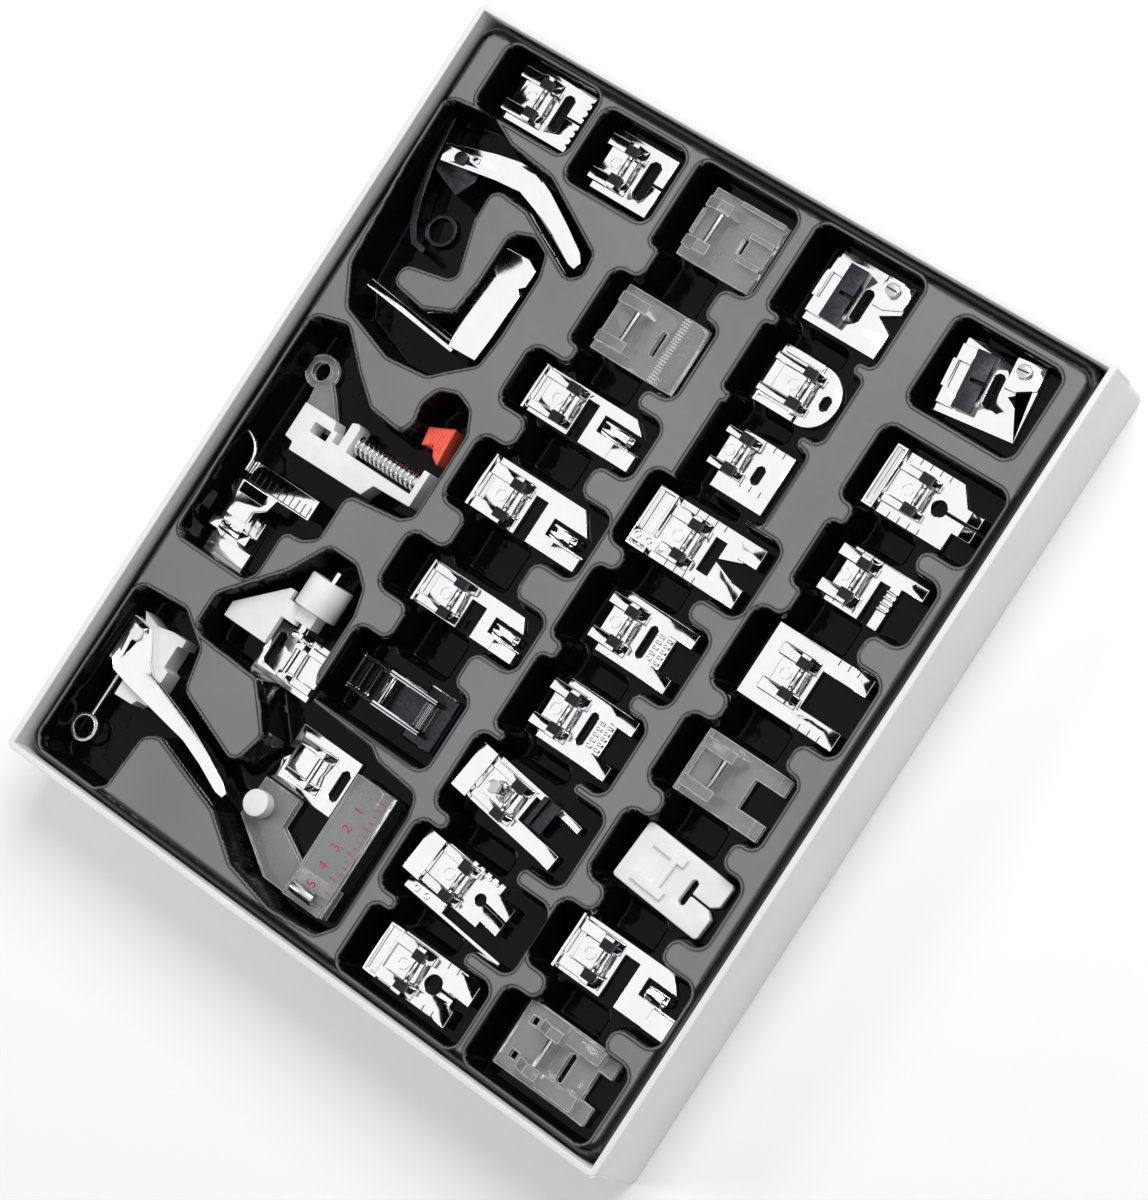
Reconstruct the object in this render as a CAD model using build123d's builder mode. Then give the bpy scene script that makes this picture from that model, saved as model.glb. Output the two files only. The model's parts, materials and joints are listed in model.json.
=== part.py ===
"""A shallow card box with a moulded tray that holds thirty-two sewing machine presser feet."""

from build123d import *
import math
import os

os.makedirs("parts", exist_ok=True)

# Card box. X runs across the short side, from the heels of the feet to their toes, Y along the long side.
box_width = 218.0
box_length = 250.0
box_height = 30.0
card = 2.0
box_corner = 2.5

# Moulded tray
tray_gap = 0.3
tray_sheet = 1.0
tray_drop = 3.0
shallow_depth = 6.5
deep_depth = 15.0
tray_corner = 7.0
well_length = 9.0
tray_width = box_width - 2 * card - 2 * tray_gap
tray_length = box_length - 2 * card - 2 * tray_gap
plateau = box_height - tray_drop
foot_floor = plateau - shallow_depth
deep_floor = plateau - deep_depth
overrun = 1.0

# What every clip-on foot shares
sole = 1.6
rail_gap = 7.4
wide_rail = 3.4
narrow_rail = 2.3
rail_top = 3.2
rail_back = 9.5
ear_back = 2.0
ear_front = 2.4
ear_top = 7.0
ear_nose = 3.4
tongue_top = 2.4
pin_radius = 0.9
pin_height = 5.4
rest_gap = 0.3
slit = 0.7
pin_clearance = 0.05
toe_rise = 2.6
toe_bend = 2.2
thin_rod = 1.0
thin_sides = 8
slot_blunt_share = 0.29
eye_sides = 16
needle_cut = (-overrun, sole + overrun, Mode.SUBTRACT)

# Where each foot's pin stands, as shares of the tray's width and length
place_shares = {
    "pintuck_foot": (-0.366, 0.446),
    "applique_foot": (-0.207, 0.429),
    "clear_guide_foot": (-0.053, 0.420),
    "clear_knurled_foot": (-0.077, 0.279),
    "narrow_hemmer_foot": (-0.093, 0.169),
    "medium_hemmer_foot": (-0.086, 0.044),
    "wide_hemmer_foot": (-0.077, -0.082),
    "roller_foot": (-0.087, -0.209),
    "elastic_foot": (0.146, 0.430),
    "rounded_foot": (0.173, 0.318),
    "straight_foot": (0.148, 0.221),
    "quilting_foot": (0.153, 0.112),
    "fringe_foot": (0.145, -0.005),
    "looping_foot": (0.141, -0.120),
    "blind_hem_foot": (0.141, -0.232),
    "edge_joining_foot": (0.141, -0.338),
    "braid_foot": (0.155, -0.446),
    "piping_foot": (0.356, 0.420),
    "quarter_inch_foot": (0.379, 0.285),
    "overcast_foot": (0.370, 0.173),
    "open_toe_foot": (0.375, 0.049),
    "clear_open_foot": (0.355, -0.082),
    "glide_foot": (0.364, -0.202),
    "felling_foot": (0.359, -0.318),
    "clear_window_foot": (0.362, -0.434),
}

# The pockets that hold one foot each: left, right, near and far edge as shares of the tray
pocket_shares = [
    (-0.448, -0.290, 0.403, 0.488),
    (-0.276, -0.137, 0.383, 0.478),
    (-0.118, 0.043, 0.370, 0.481),
    (-0.140, 0.031, 0.231, 0.328),
    (-0.179, 0.040, 0.131, 0.206),
    (-0.171, 0.050, 0.005, 0.091),
    (-0.182, 0.050, -0.116, -0.043),
    (-0.173, 0.020, -0.261, -0.163),
    (0.070, 0.238, 0.375, 0.487),
    (0.079, 0.234, 0.275, 0.360),
    (0.089, 0.227, 0.165, 0.261),
    (0.058, 0.268, 0.068, 0.162),
    (0.065, 0.253, -0.055, 0.039),
    (0.067, 0.245, -0.172, -0.078),
    (0.054, 0.264, -0.281, -0.185),
    (0.049, 0.270, -0.389, -0.302),
    (0.059, 0.260, -0.490, -0.407),
    (0.296, 0.455, 0.364, 0.475),
    (0.292, 0.480, 0.240, 0.335),
    (0.299, 0.470, 0.135, 0.214),
    (0.279, 0.473, -0.003, 0.097),
    (0.280, 0.453, -0.128, -0.039),
    (0.280, 0.465, -0.248, -0.162),
    (0.273, 0.484, -0.363, -0.282),
    (0.274, 0.474, -0.490, -0.394),
]

# The channels that join neighbouring pockets, in the same shares
channel_shares = [
    (-0.099, 0.002, 0.320, 0.378),
    (-0.120, -0.011, 0.198, 0.240),
    (-0.123, -0.011, 0.085, 0.136),
    (-0.123, -0.011, -0.049, 0.012),
    (-0.123, -0.014, -0.168, -0.111),
    (0.094, 0.215, 0.353, 0.382),
    (0.094, 0.205, 0.254, 0.281),
    (0.094, 0.205, 0.157, 0.170),
    (0.094, 0.205, 0.034, 0.073),
    (0.088, 0.205, -0.083, -0.050),
    (0.088, 0.205, -0.190, -0.166),
    (0.088, 0.205, -0.308, -0.276),
    (0.088, 0.205, -0.412, -0.384),
    (0.319, 0.422, 0.209, 0.245),
    (0.319, 0.422, 0.092, 0.140),
    (0.319, 0.422, -0.044, 0.002),
    (0.319, 0.422, -0.167, -0.123),
    (0.319, 0.422, -0.287, -0.243),
    (0.319, 0.422, -0.399, -0.358),
]
ledge_share = 0.22

# The free-form pockets on the left, as outlines in shares of the tray
lever_pocket_shares = [
    (-0.484, 0.395), (-0.410, 0.402), (-0.355, 0.380), (-0.352, 0.290), (-0.328, 0.226),
    (-0.337, 0.218), (-0.405, 0.206), (-0.405, 0.180), (-0.345, 0.172), (-0.300, 0.188),
    (-0.293, 0.235), (-0.293, 0.298), (-0.262, 0.308), (-0.236, 0.298), (-0.226, 0.272),
    (-0.226, 0.190), (-0.231, 0.152), (-0.262, 0.130), (-0.285, 0.112), (-0.350, 0.106),
    (-0.440, 0.130), (-0.472, 0.176), (-0.482, 0.300),
]
arm_channel_shares = [
    (-0.372, 0.385), (-0.290, 0.376), (-0.178, 0.326), (-0.174, 0.300), (-0.190, 0.288),
    (-0.292, 0.330), (-0.372, 0.336),
]
spring_pocket_shares = [
    (-0.478, 0.100), (-0.425, 0.112), (-0.372, 0.072), (-0.330, 0.045), (-0.272, 0.040),
    (-0.262, 0.058), (-0.268, 0.082), (-0.258, 0.104), (-0.232, 0.112), (-0.206, 0.104),
    (-0.190, 0.078), (-0.190, -0.030), (-0.205, -0.040), (-0.290, -0.050), (-0.290, -0.110),
    (-0.310, -0.122), (-0.340, -0.124), (-0.340, -0.182), (-0.350, -0.196), (-0.476, -0.196),
    (-0.480, -0.060),
]
wing_pocket_shares = [
    (-0.268, -0.112), (-0.222, -0.112), (-0.196, -0.130), (-0.186, -0.160), (-0.186, -0.236),
    (-0.168, -0.266), (-0.062, -0.270), (-0.042, -0.280), (0.026, -0.286), (0.034, -0.310),
    (0.034, -0.455), (0.014, -0.476), (-0.060, -0.482), (-0.140, -0.468), (-0.208, -0.428),
    (-0.216, -0.380), (-0.200, -0.330), (-0.255, -0.280), (-0.372, -0.276), (-0.372, -0.228),
    (-0.300, -0.160),
]
ring_pocket_shares = [
    (-0.480, -0.268), (-0.400, -0.262), (-0.350, -0.290), (-0.336, -0.340), (-0.190, -0.384),
    (-0.186, -0.408), (-0.205, -0.430), (-0.330, -0.398), (-0.352, -0.410), (-0.358, -0.480),
    (-0.372, -0.490), (-0.470, -0.490), (-0.484, -0.476),
]

# Card box base: a floor with four walls
with BuildPart() as box_base:
    with BuildSketch() as base_outline:
        Rectangle(box_width, box_length)
        fillet(base_outline.vertices(), box_corner)
    extrude(amount=box_height)
    with BuildSketch(Plane.XY.offset(card)):
        Rectangle(box_width - 2 * card, box_length - 2 * card)
    extrude(amount=box_height, mode=Mode.SUBTRACT)
box_base.part.label = "box_base"
export_step(box_base.part, "parts/box_base.step")


# Helpers that work in the frame of a piece: x from heel to toe, y across, z up


def seat(place, floor, turn=0):
    """The plane a piece lies on, from its place in shares of the tray."""
    x_share, y_share = place
    origin = (x_share * tray_width, y_share * tray_length, floor + rest_gap)
    return Plane(origin=origin).rotated((0, 0, turn))


def slab(frame, points, low, high, mode=Mode.ADD):
    """An upright prism on a closed outline."""
    with BuildSketch(frame.offset(low)) as face:
        with BuildLine():
            Polyline(*points, close=True)
        make_face()
    extrude(face.sketch, amount=high - low, mode=mode)


def block(frame, x0, x1, y0, y1, low, high, mode=Mode.ADD):
    """A rectangular block between two corners."""
    slab(frame, [(x0, y0), (x1, y0), (x1, y1), (x0, y1)], low, high, mode)


def side_plane(frame, y):
    """A plane across the foot at y, with its own x towards the toe and its own y up."""
    return Plane(
        origin=frame.from_local_coords((0, y, 0)), x_dir=frame.x_dir, z_dir=-frame.y_dir
    )


def profile(frame, points, y0, y1, mode=Mode.ADD):
    """A side view, drawn from heel to toe, carried across from y0 to y1."""
    with BuildSketch(side_plane(frame, y1)) as face:
        with BuildLine():
            Polyline(*points, close=True)
        make_face()
    extrude(face.sketch, amount=y1 - y0, mode=mode)


def round_face(radius, mode, sides=None):
    """A round section in the open sketch, with flat sides where it is thin or where they are asked for."""
    if sides:
        RegularPolygon(radius, sides)
    elif radius < thin_rod and mode == Mode.ADD:
        RegularPolygon(radius, thin_sides)
    else:
        Circle(radius)


def cross_rod(frame, x, z, radius, y0, y1, mode=Mode.ADD):
    """A round rod that runs across the foot."""
    with BuildSketch(side_plane(frame, y1)) as face:
        with Locations((x, z)):
            round_face(radius, mode)
    extrude(face.sketch, amount=y1 - y0, mode=mode)


def long_rod(frame, y, z, radius, x0, x1, mode=Mode.ADD):
    """A round rod that runs from heel to toe."""
    end = Plane(origin=frame.from_local_coords((x0, y, z)), x_dir=frame.y_dir, z_dir=frame.x_dir)
    with BuildSketch(end) as face:
        round_face(radius, mode)
    extrude(face.sketch, amount=x1 - x0, mode=mode)


def upright(frame, x, y, radius, low, high, mode=Mode.ADD, sides=None):
    """A round post, or a round hole, that stands on the foot."""
    with BuildSketch(frame.offset(low)) as face:
        with Locations((x, y)):
            round_face(radius, mode, sides)
    extrude(face.sketch, amount=high - low, mode=mode)


def cross_slot(frame, x0, x1, half, y=0):
    """A needle slot with rounded-off ends, cut through the sole."""
    blunt = slot_blunt_share * (x1 - x0)
    low, high = y - half, y + half
    outline = [(x0 + blunt, low), (x1 - blunt, low), (x1, low + blunt), (x1, high - blunt)]
    outline += [(x1 - blunt, high), (x0 + blunt, high), (x0, high - blunt), (x0, low + blunt)]
    slab(frame, outline, -overrun, sole + overrun, Mode.SUBTRACT)


def toe_slit(frame, x0, x1, y=0):
    """The thin slit from the needle slot to the toe."""
    low, high = -overrun, sole + 2 * overrun + toe_rise
    block(frame, x0, x1, y - slit / 2, y + slit / 2, low, high, Mode.SUBTRACT)


def rails(frame, rail, back=rail_back, height=ear_top):
    """The two side rails, each rising into the ear that carries the clip-on pin."""
    side = [
        (-back, 0),
        (-back, rail_top),
        (-ear_back, rail_top),
        (-ear_back, height),
        (ear_back / 2, height),
        (ear_front, ear_nose),
        (ear_front, 0),
    ]
    inner = rail_gap / 2
    profile(frame, side, inner, inner + rail)
    profile(frame, side, -inner - rail, -inner)


def tongue(frame, back):
    """The low block between the rails, behind the pin."""
    block(frame, -back, -ear_back, -rail_gap / 2, rail_gap / 2, 0, tongue_top)


def toe_prong(frame, x, y0, y1, length, rise=toe_rise):
    """The bent-up end of a toe."""
    side = [
        (x - toe_bend, 0),
        (x, 0),
        (x + length, rise),
        (x + length, rise + sole),
        (x - toe_bend, sole),
    ]
    profile(frame, side, y0, y1)


def snap_pin(frame):
    """The pin that snaps into the ankle, a piece of its own between the ears."""
    with BuildPart() as pin:
        cross_rod(frame, 0, pin_height, pin_radius, -rail_gap / 2, rail_gap / 2)
    return pin.part


def finish_foot(name, body, *loose):
    """Joins the solids of one node without fusing them, and writes them."""
    node = Compound(children=[body, *loose])
    node.label = name
    export_step(node, f"parts/{name}.step")


# Tray: one thin sheet, drawn down into a shallow pocket for each foot, with deep wells and channels

free_pockets = [
    lever_pocket_shares,
    arm_channel_shares,
    spring_pocket_shares,
    wing_pocket_shares,
    ring_pocket_shares,
]


def tray_rectangle(edges, grow):
    """A rectangle in the open sketch, from its edges in shares of the tray, grown all round."""
    x0, x1, y0, y1 = edges
    with Locations(((x0 + x1) / 2 * tray_width, (y0 + y1) / 2 * tray_length)):
        Rectangle((x1 - x0) * tray_width + 2 * grow, (y1 - y0) * tray_length + 2 * grow)


def tray_outline(points, grow):
    """A free outline from points in shares of the tray, grown all round."""
    with BuildSketch() as outline:
        with BuildLine():
            Polyline(*[(x * tray_width, y * tray_length) for x, y in points], close=True)
        make_face()
        if grow:
            offset(amount=grow, kind=Kind.INTERSECTION)
    return outline.sketch


def shallow_outline(grow=0):
    """Every pocket and channel at the level of the plateau."""
    with BuildSketch() as outline:
        for edges in pocket_shares + channel_shares:
            tray_rectangle(edges, grow)
        for points in free_pockets:
            add(tray_outline(points, grow))
    return outline.sketch


def deep_outline(grow=0):
    """The finger wells behind the heels, the channels without their ledges, and the free pockets."""
    inset = tray_sheet / tray_length
    with BuildSketch() as outline:
        for x0, x1, y0, y1 in pocket_shares:
            tray_rectangle((x0, x0 + well_length / tray_width, y0 + inset, y1 - inset), grow)
        for x0, x1, y0, y1 in channel_shares:
            tray_rectangle((x0, x1 - ledge_share * (x1 - x0), y0, y1), grow)
        for points in free_pockets:
            add(tray_outline(points, grow))
    return outline.sketch


with BuildPart() as insert_tray:
    with BuildSketch(Plane.XY.offset(plateau - tray_sheet)) as plateau_sheet:
        Rectangle(tray_width, tray_length)
        fillet(plateau_sheet.vertices(), tray_corner)
    extrude(amount=tray_sheet)
    with BuildSketch(Plane.XY.offset(card + tray_gap)) as skirt:
        Rectangle(tray_width, tray_length)
        fillet(skirt.vertices(), tray_corner)
        Rectangle(tray_width - 2 * tray_sheet, tray_length - 2 * tray_sheet, mode=Mode.SUBTRACT)
    extrude(amount=plateau - card - tray_gap)
    with BuildSketch(Plane.XY.offset(foot_floor - tray_sheet)):
        add(shallow_outline(tray_sheet))
    extrude(amount=shallow_depth)
    with BuildSketch(Plane.XY.offset(deep_floor - tray_sheet)):
        add(deep_outline(tray_sheet))
    extrude(amount=deep_depth)
    with BuildSketch(Plane.XY.offset(foot_floor)):
        add(shallow_outline())
    extrude(amount=shallow_depth + overrun, mode=Mode.SUBTRACT)
    with BuildSketch(Plane.XY.offset(deep_floor)):
        add(deep_outline())
    extrude(amount=deep_depth + overrun, mode=Mode.SUBTRACT)
insert_tray.part.label = "insert_tray"
export_step(insert_tray.part, "parts/insert_tray.step")
print("tray solids", len(insert_tray.part.solids()), insert_tray.part.volume)

# Pintuck foot: a square sole with a wide needle slot and a row of small teeth along the toe
pintuck_heel = 9.4
pintuck_toe = 12.9
pintuck_half = 9.0
pintuck_slot_back = 4.1
pintuck_slot_front = 7.6
pintuck_slot_half = 5.85
pintuck_teeth = 7
pintuck_tooth = 0.8

pintuck_seat = seat(place_shares["pintuck_foot"], foot_floor)
with BuildPart() as pintuck:
    block(pintuck_seat, -pintuck_heel, pintuck_toe, -pintuck_half, pintuck_half, 0, sole)
    cross_slot(pintuck_seat, pintuck_slot_back, pintuck_slot_front, pintuck_slot_half)
    toe_slit(pintuck_seat, pintuck_slot_front - slit, pintuck_toe + overrun)
    for tooth in range(pintuck_teeth):
        step = 2 * pintuck_half / (pintuck_teeth + 1)
        y = (tooth + 1) * step - pintuck_half
        notch = [
            (pintuck_toe + overrun, y - step / 2),
            (pintuck_toe - pintuck_tooth, y),
            (pintuck_toe + overrun, y + step / 2),
        ]
        slab(pintuck_seat, notch, -overrun, sole + overrun, Mode.SUBTRACT)
    rails(pintuck_seat, wide_rail, pintuck_heel + sole)
    tongue(pintuck_seat, pintuck_heel - sole)
finish_foot("pintuck_foot", pintuck.part, snap_pin(pintuck_seat))

# Applique foot: the same sole without the teeth
applique_heel = 8.5
applique_toe = 11.4
applique_half = 9.2
applique_slot_back = 4.0
applique_slot_front = 7.9
applique_slot_half = 6.0

applique_seat = seat(place_shares["applique_foot"], foot_floor)
with BuildPart() as applique:
    block(applique_seat, -applique_heel, applique_toe, -applique_half, applique_half, 0, sole)
    cross_slot(applique_seat, applique_slot_back, applique_slot_front, applique_slot_half)
    toe_slit(applique_seat, applique_slot_front - slit, applique_toe + overrun)
    rails(applique_seat, wide_rail, applique_heel + sole)
    tongue(applique_seat, applique_heel)
finish_foot("applique_foot", applique.part, snap_pin(applique_seat))

# Clear guide foot: a moulded clear sole with side cheeks, a steel pin and a ridge along one side
clear_sole = 2.2
clear_cheek = 3.0
clear_cheek_top = 6.6
clear_pin_half = 7.7
guide_heel = 7.0
guide_toe = 17.3
guide_half = 10.6
guide_slot_back = 7.8
guide_slot_front = 9.8
guide_slot_half = 2.6
guide_ridge = 1.2
guide_ridge_top = 3.4


def cheeks(frame, back, front, pin_half, top=clear_cheek_top):
    """The two moulded cheeks of a clear foot, pierced for the pin."""
    side = [(-back, 0), (-back, rail_top), (-pin_radius * 2, top), (ear_front, top), (front, 0)]
    for y in (-pin_half, pin_half - clear_cheek):
        profile(frame, side, y, y + clear_cheek)


def clear_pin(frame, pin_half):
    """The steel pin of a clear foot, between its cheeks."""
    with BuildPart() as pin:
        end = pin_half - clear_cheek
        cross_rod(frame, 0, pin_height, pin_radius, -end, end)
    return pin.part


guide_seat = seat(place_shares["clear_guide_foot"], foot_floor)
with BuildPart() as clear_guide:
    block(guide_seat, -guide_heel, guide_toe, -guide_half, guide_half, 0, clear_sole)
    cross_slot(guide_seat, guide_slot_back, guide_slot_front, guide_slot_half)
    cheeks(guide_seat, guide_heel, guide_slot_back - clear_sole, clear_pin_half)
    for y in (-rail_gap / 2, rail_gap / 2):
        high = clear_sole + guide_ridge
        block(guide_seat, guide_slot_front, guide_toe, y - slit, y + slit, 0, high)
    block(guide_seat, ear_front, guide_toe, guide_half - guide_ridge, guide_half, 0, guide_ridge_top)
    block(guide_seat, -guide_heel, -guide_heel + guide_ridge, -rail_gap / 2, rail_gap / 2, 0, rail_top)
finish_foot("clear_guide_foot", clear_guide.part)
with BuildPart() as clear_guide_pin:
    add(clear_pin(guide_seat, clear_pin_half))

# Clear foot with a knurled strip along its toe
knurled_heel = 8.5
knurled_toe = 19.3
knurled_half = 10.2
knurled_slot_back = 7.4
knurled_slot_front = 9.4
knurled_slot_half = 4.0
band_back = 11.6
band_front = 14.4
band_top = 3.6

knurled_seat = seat(place_shares["clear_knurled_foot"], foot_floor)
with BuildPart() as clear_knurled:
    block(knurled_seat, -knurled_heel, knurled_toe, -knurled_half, knurled_half, 0, clear_sole)
    cross_slot(knurled_seat, knurled_slot_back, knurled_slot_front, knurled_slot_half)
    cheeks(knurled_seat, knurled_heel, knurled_slot_back - clear_sole, clear_pin_half)
    crown = [
        (band_back, 0),
        (band_back, clear_sole),
        ((2 * band_back + band_front) / 3, band_top),
        (band_front, band_top),
        (knurled_toe, clear_sole),
        (knurled_toe, 0),
    ]
    profile(knurled_seat, crown, -knurled_half, knurled_half)
finish_foot("clear_knurled_foot", clear_knurled.part)
with BuildPart() as clear_knurled_pin:
    add(clear_pin(knurled_seat, clear_pin_half))

# Rolled hemmers: a narrow sole, open at one side of the needle, with a scroll that curls the hem
flange_thickness = 1.0
flange_top = 4.6
scroll_wall = 0.6
scroll_gap_degrees = 110
tab_top = 3.0


def scroll(frame, x0, x1, y, radius):
    """A curled tongue: a tube along the foot, open along one side."""
    end = Plane(
        origin=frame.from_local_coords((x0, y, radius)), x_dir=frame.y_dir, z_dir=frame.x_dir
    )
    with BuildSketch(end) as face:
        RegularPolygon(radius, eye_sides)
        RegularPolygon(radius - scroll_wall, eye_sides, mode=Mode.SUBTRACT)
        with BuildLine():
            reach = 2 * radius
            half = math.radians(scroll_gap_degrees / 2)
            Polyline(
                (0, 0),
                (reach * math.cos(half), reach * math.sin(half)),
                (reach, 0),
                (reach * math.cos(half), -reach * math.sin(half)),
                close=True,
            )
        make_face(mode=Mode.SUBTRACT)
    extrude(face.sketch, amount=x1 - x0)


def hemmer(frame, rail, heel, toe, low, high, notch, mouth, tab, shoulder):
    """A hemmer from its sizes: notch and mouth are openings, tab the folded corner at the toe."""
    notch_back, notch_front, notch_end = notch
    mouth_back, mouth_low, mouth_high = mouth
    tab_back, tab_side = tab
    shoulder_x, shoulder_y = shoulder
    outline = [
        (-heel, low),
        (notch_back, low),
        (notch_back, notch_end),
        (notch_front, notch_end),
        (notch_front, low),
        (toe, low),
        (toe, shoulder_y),
        (shoulder_x, high),
        (-heel, high),
    ]
    slab(frame, outline, 0, sole)
    block(frame, mouth_back, toe + overrun, mouth_low, mouth_high, -overrun, sole + overrun, Mode.SUBTRACT)
    block(frame, tab_back, toe, low, tab_side, 0, tab_top)
    scroll_radius = (mouth_high - mouth_low) / 2
    scroll_y = (mouth_low + mouth_high) / 2
    scroll(frame, mouth_back + scroll_radius, shoulder_x + scroll_radius, scroll_y, scroll_radius)
    block(frame, -heel - flange_thickness, -heel, low, high, 0, flange_top)
    rails(frame, rail, heel)
    tongue(frame, heel - flange_thickness * 2)


narrow_hemmer_heel = 11.4
narrow_hemmer_toe = 24.9
narrow_hemmer_low = -7.3
narrow_hemmer_high = 6.7
narrow_hemmer_notch = (2.9, 6.8, 4.4)
narrow_hemmer_mouth = (10.0, -1.9, 3.0)
narrow_hemmer_tab = (17.2, -2.3)
narrow_hemmer_shoulder = (18.8, 0.9)

narrow_hemmer_seat = seat(place_shares["narrow_hemmer_foot"], foot_floor)
with BuildPart() as narrow_hemmer:
    hemmer(
        narrow_hemmer_seat,
        narrow_rail,
        narrow_hemmer_heel,
        narrow_hemmer_toe,
        narrow_hemmer_low,
        narrow_hemmer_high,
        narrow_hemmer_notch,
        narrow_hemmer_mouth,
        narrow_hemmer_tab,
        narrow_hemmer_shoulder,
    )
finish_foot("narrow_hemmer_foot", narrow_hemmer.part, snap_pin(narrow_hemmer_seat))

medium_hemmer_heel = 11.0
medium_hemmer_toe = 26.0
medium_hemmer_low = -7.2
medium_hemmer_high = 9.0
medium_hemmer_notch = (4.0, 8.3, 5.2)
medium_hemmer_mouth = (12.4, -2.6, 2.6)
medium_hemmer_tab = (16.6, -3.2)
medium_hemmer_shoulder = (18.9, -0.4)

medium_hemmer_seat = seat(place_shares["medium_hemmer_foot"], foot_floor)
with BuildPart() as medium_hemmer:
    hemmer(
        medium_hemmer_seat,
        wide_rail,
        medium_hemmer_heel,
        medium_hemmer_toe,
        medium_hemmer_low,
        medium_hemmer_high,
        medium_hemmer_notch,
        medium_hemmer_mouth,
        medium_hemmer_tab,
        medium_hemmer_shoulder,
    )
finish_foot("medium_hemmer_foot", medium_hemmer.part, snap_pin(medium_hemmer_seat))

wide_hemmer_heel = 11.2
wide_hemmer_toe = 23.4
wide_hemmer_low = -6.6
wide_hemmer_high = 6.4
wide_hemmer_notch = (2.8, 7.9, 2.6)
wide_hemmer_mouth = (11.8, -2.5, 2.1)
wide_hemmer_tab = (15.4, -3.0)
wide_hemmer_shoulder = (18.9, -1.0)

wide_hemmer_seat = seat(place_shares["wide_hemmer_foot"], foot_floor)
with BuildPart() as wide_hemmer:
    hemmer(
        wide_hemmer_seat,
        narrow_rail,
        wide_hemmer_heel,
        wide_hemmer_toe,
        wide_hemmer_low,
        wide_hemmer_high,
        wide_hemmer_notch,
        wide_hemmer_mouth,
        wide_hemmer_tab,
        wide_hemmer_shoulder,
    )
finish_foot("wide_hemmer_foot", wide_hemmer.part, snap_pin(wide_hemmer_seat))

felling_heel = 10.6
felling_toe = 26.0
felling_low = -8.4
felling_high = 8.4
felling_notch = (3.6, 8.5, 5.0)
felling_mouth = (12.6, -1.6, 3.6)
felling_tab = (18.6, -2.2)
felling_shoulder = (18.0, -1.2)

felling_seat = seat(place_shares["felling_foot"], foot_floor)
with BuildPart() as felling:
    hemmer(
        felling_seat,
        wide_rail,
        felling_heel,
        felling_toe,
        felling_low,
        felling_high,
        felling_notch,
        felling_mouth,
        felling_tab,
        felling_shoulder,
    )
finish_foot("felling_foot", felling.part, snap_pin(felling_seat))

# Elastic and piping feet: a broad sole with a dark pressure block, a set screw and a wedge in the toe
elastic_heel = 7.7
elastic_toe = 16.3
elastic_half = 10.7
elastic_slot_back = 3.6
elastic_slot_front = 6.8
elastic_slot_half = 5.0
elastic_wedge = 5.5
elastic_wedge_half = 3.6
elastic_tab_front = 3.2
elastic_tab_inner = 4.0
elastic_tab_outer = 8.5
elastic_cover = 1.0
screw_x = 11.0
screw_y = 7.6
screw_head = 2.0
screw_head_top = 1.4
screw_shank = 1.0
press_back = 2.6
press_front = 3.2
press_half = 8.4
press_top = 5.2
press_groove = 1.0


def elastic_sole(frame, bridge):
    """The sole, its two tabs and the raised cover that the set screw holds."""
    block(frame, -elastic_heel, elastic_toe, -elastic_half, elastic_half, 0, sole)
    cross_slot(frame, elastic_slot_back, elastic_slot_front, elastic_slot_half)
    base = elastic_toe - bridge if bridge else elastic_toe + overrun
    wedge = [
        (base, -elastic_wedge_half),
        (base, elastic_wedge_half),
        (elastic_toe - elastic_wedge - bridge, 0),
    ]
    slab(frame, wedge, -overrun, sole + overrun, Mode.SUBTRACT)
    for y0, y1 in ((elastic_tab_inner, elastic_tab_outer), (-elastic_tab_outer, -elastic_tab_inner)):
        block(frame, -elastic_heel, -elastic_tab_front, y0, y1, 0, rail_top)
    lip_back = -elastic_heel - sole / 2
    block(frame, lip_back, lip_back + sole, -elastic_tab_inner, elastic_tab_inner, 0, rail_top)
    back = elastic_slot_front + slit
    cover = [
        (back, elastic_wedge_half / 2),
        (elastic_toe - elastic_wedge, elastic_wedge_half / 2),
        (elastic_toe, elastic_wedge_half + slit),
        (elastic_toe, elastic_half),
        (back, elastic_half),
    ]
    slab(frame, cover, 0, sole + elastic_cover)
    upright(frame, screw_x, screw_y, screw_shank, -overrun, sole + elastic_cover + overrun, Mode.SUBTRACT)


def pressure_block(frame):
    """The dark block between the tabs, with the pin bar and a groove along its middle."""
    block(frame, -press_back, press_front, -press_half, press_half, sole, press_top)
    groove = (-overrun, press_front + overrun, -press_groove / 2, press_groove / 2)
    block(frame, *groove, rail_top, press_top + overrun, Mode.SUBTRACT)


def set_screw(frame):
    """A small cheese-head screw in the cover."""
    top = sole + elastic_cover
    upright(frame, screw_x, screw_y, screw_shank - pin_clearance, 0, top)
    upright(frame, screw_x, screw_y, screw_head, top, top + screw_head_top)


elastic_seat = seat(place_shares["elastic_foot"], foot_floor)
with BuildPart() as elastic:
    elastic_sole(elastic_seat, 0)
finish_foot("elastic_foot", elastic.part)
with BuildPart() as elastic_press:
    pressure_block(elastic_seat)
finish_foot("elastic_pressure_block", elastic_press.part)
with BuildPart() as elastic_screw:
    set_screw(elastic_seat)
finish_foot("elastic_screw", elastic_screw.part)

piping_turn = 7
piping_bridge = 1.4
piping_seat = seat(place_shares["piping_foot"], foot_floor, piping_turn)
with BuildPart() as piping:
    elastic_sole(piping_seat, piping_bridge)
finish_foot("piping_foot", piping.part)
with BuildPart() as piping_press:
    pressure_block(piping_seat)
finish_foot("piping_pressure_block", piping_press.part)
with BuildPart() as piping_screw:
    set_screw(piping_seat)
finish_foot("piping_screw", piping_screw.part)

# Rounded foot: a sole with a half-round toe, long rails and a short needle hole
rounded_heel = 13.2
rounded_toe = 9.8
rounded_half = 8.9
rounded_start = 1.4
rounded_slot_back = 4.5
rounded_slot_front = 7.2
rounded_slot_half = 2.1
rounded_bar = 2.2

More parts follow.
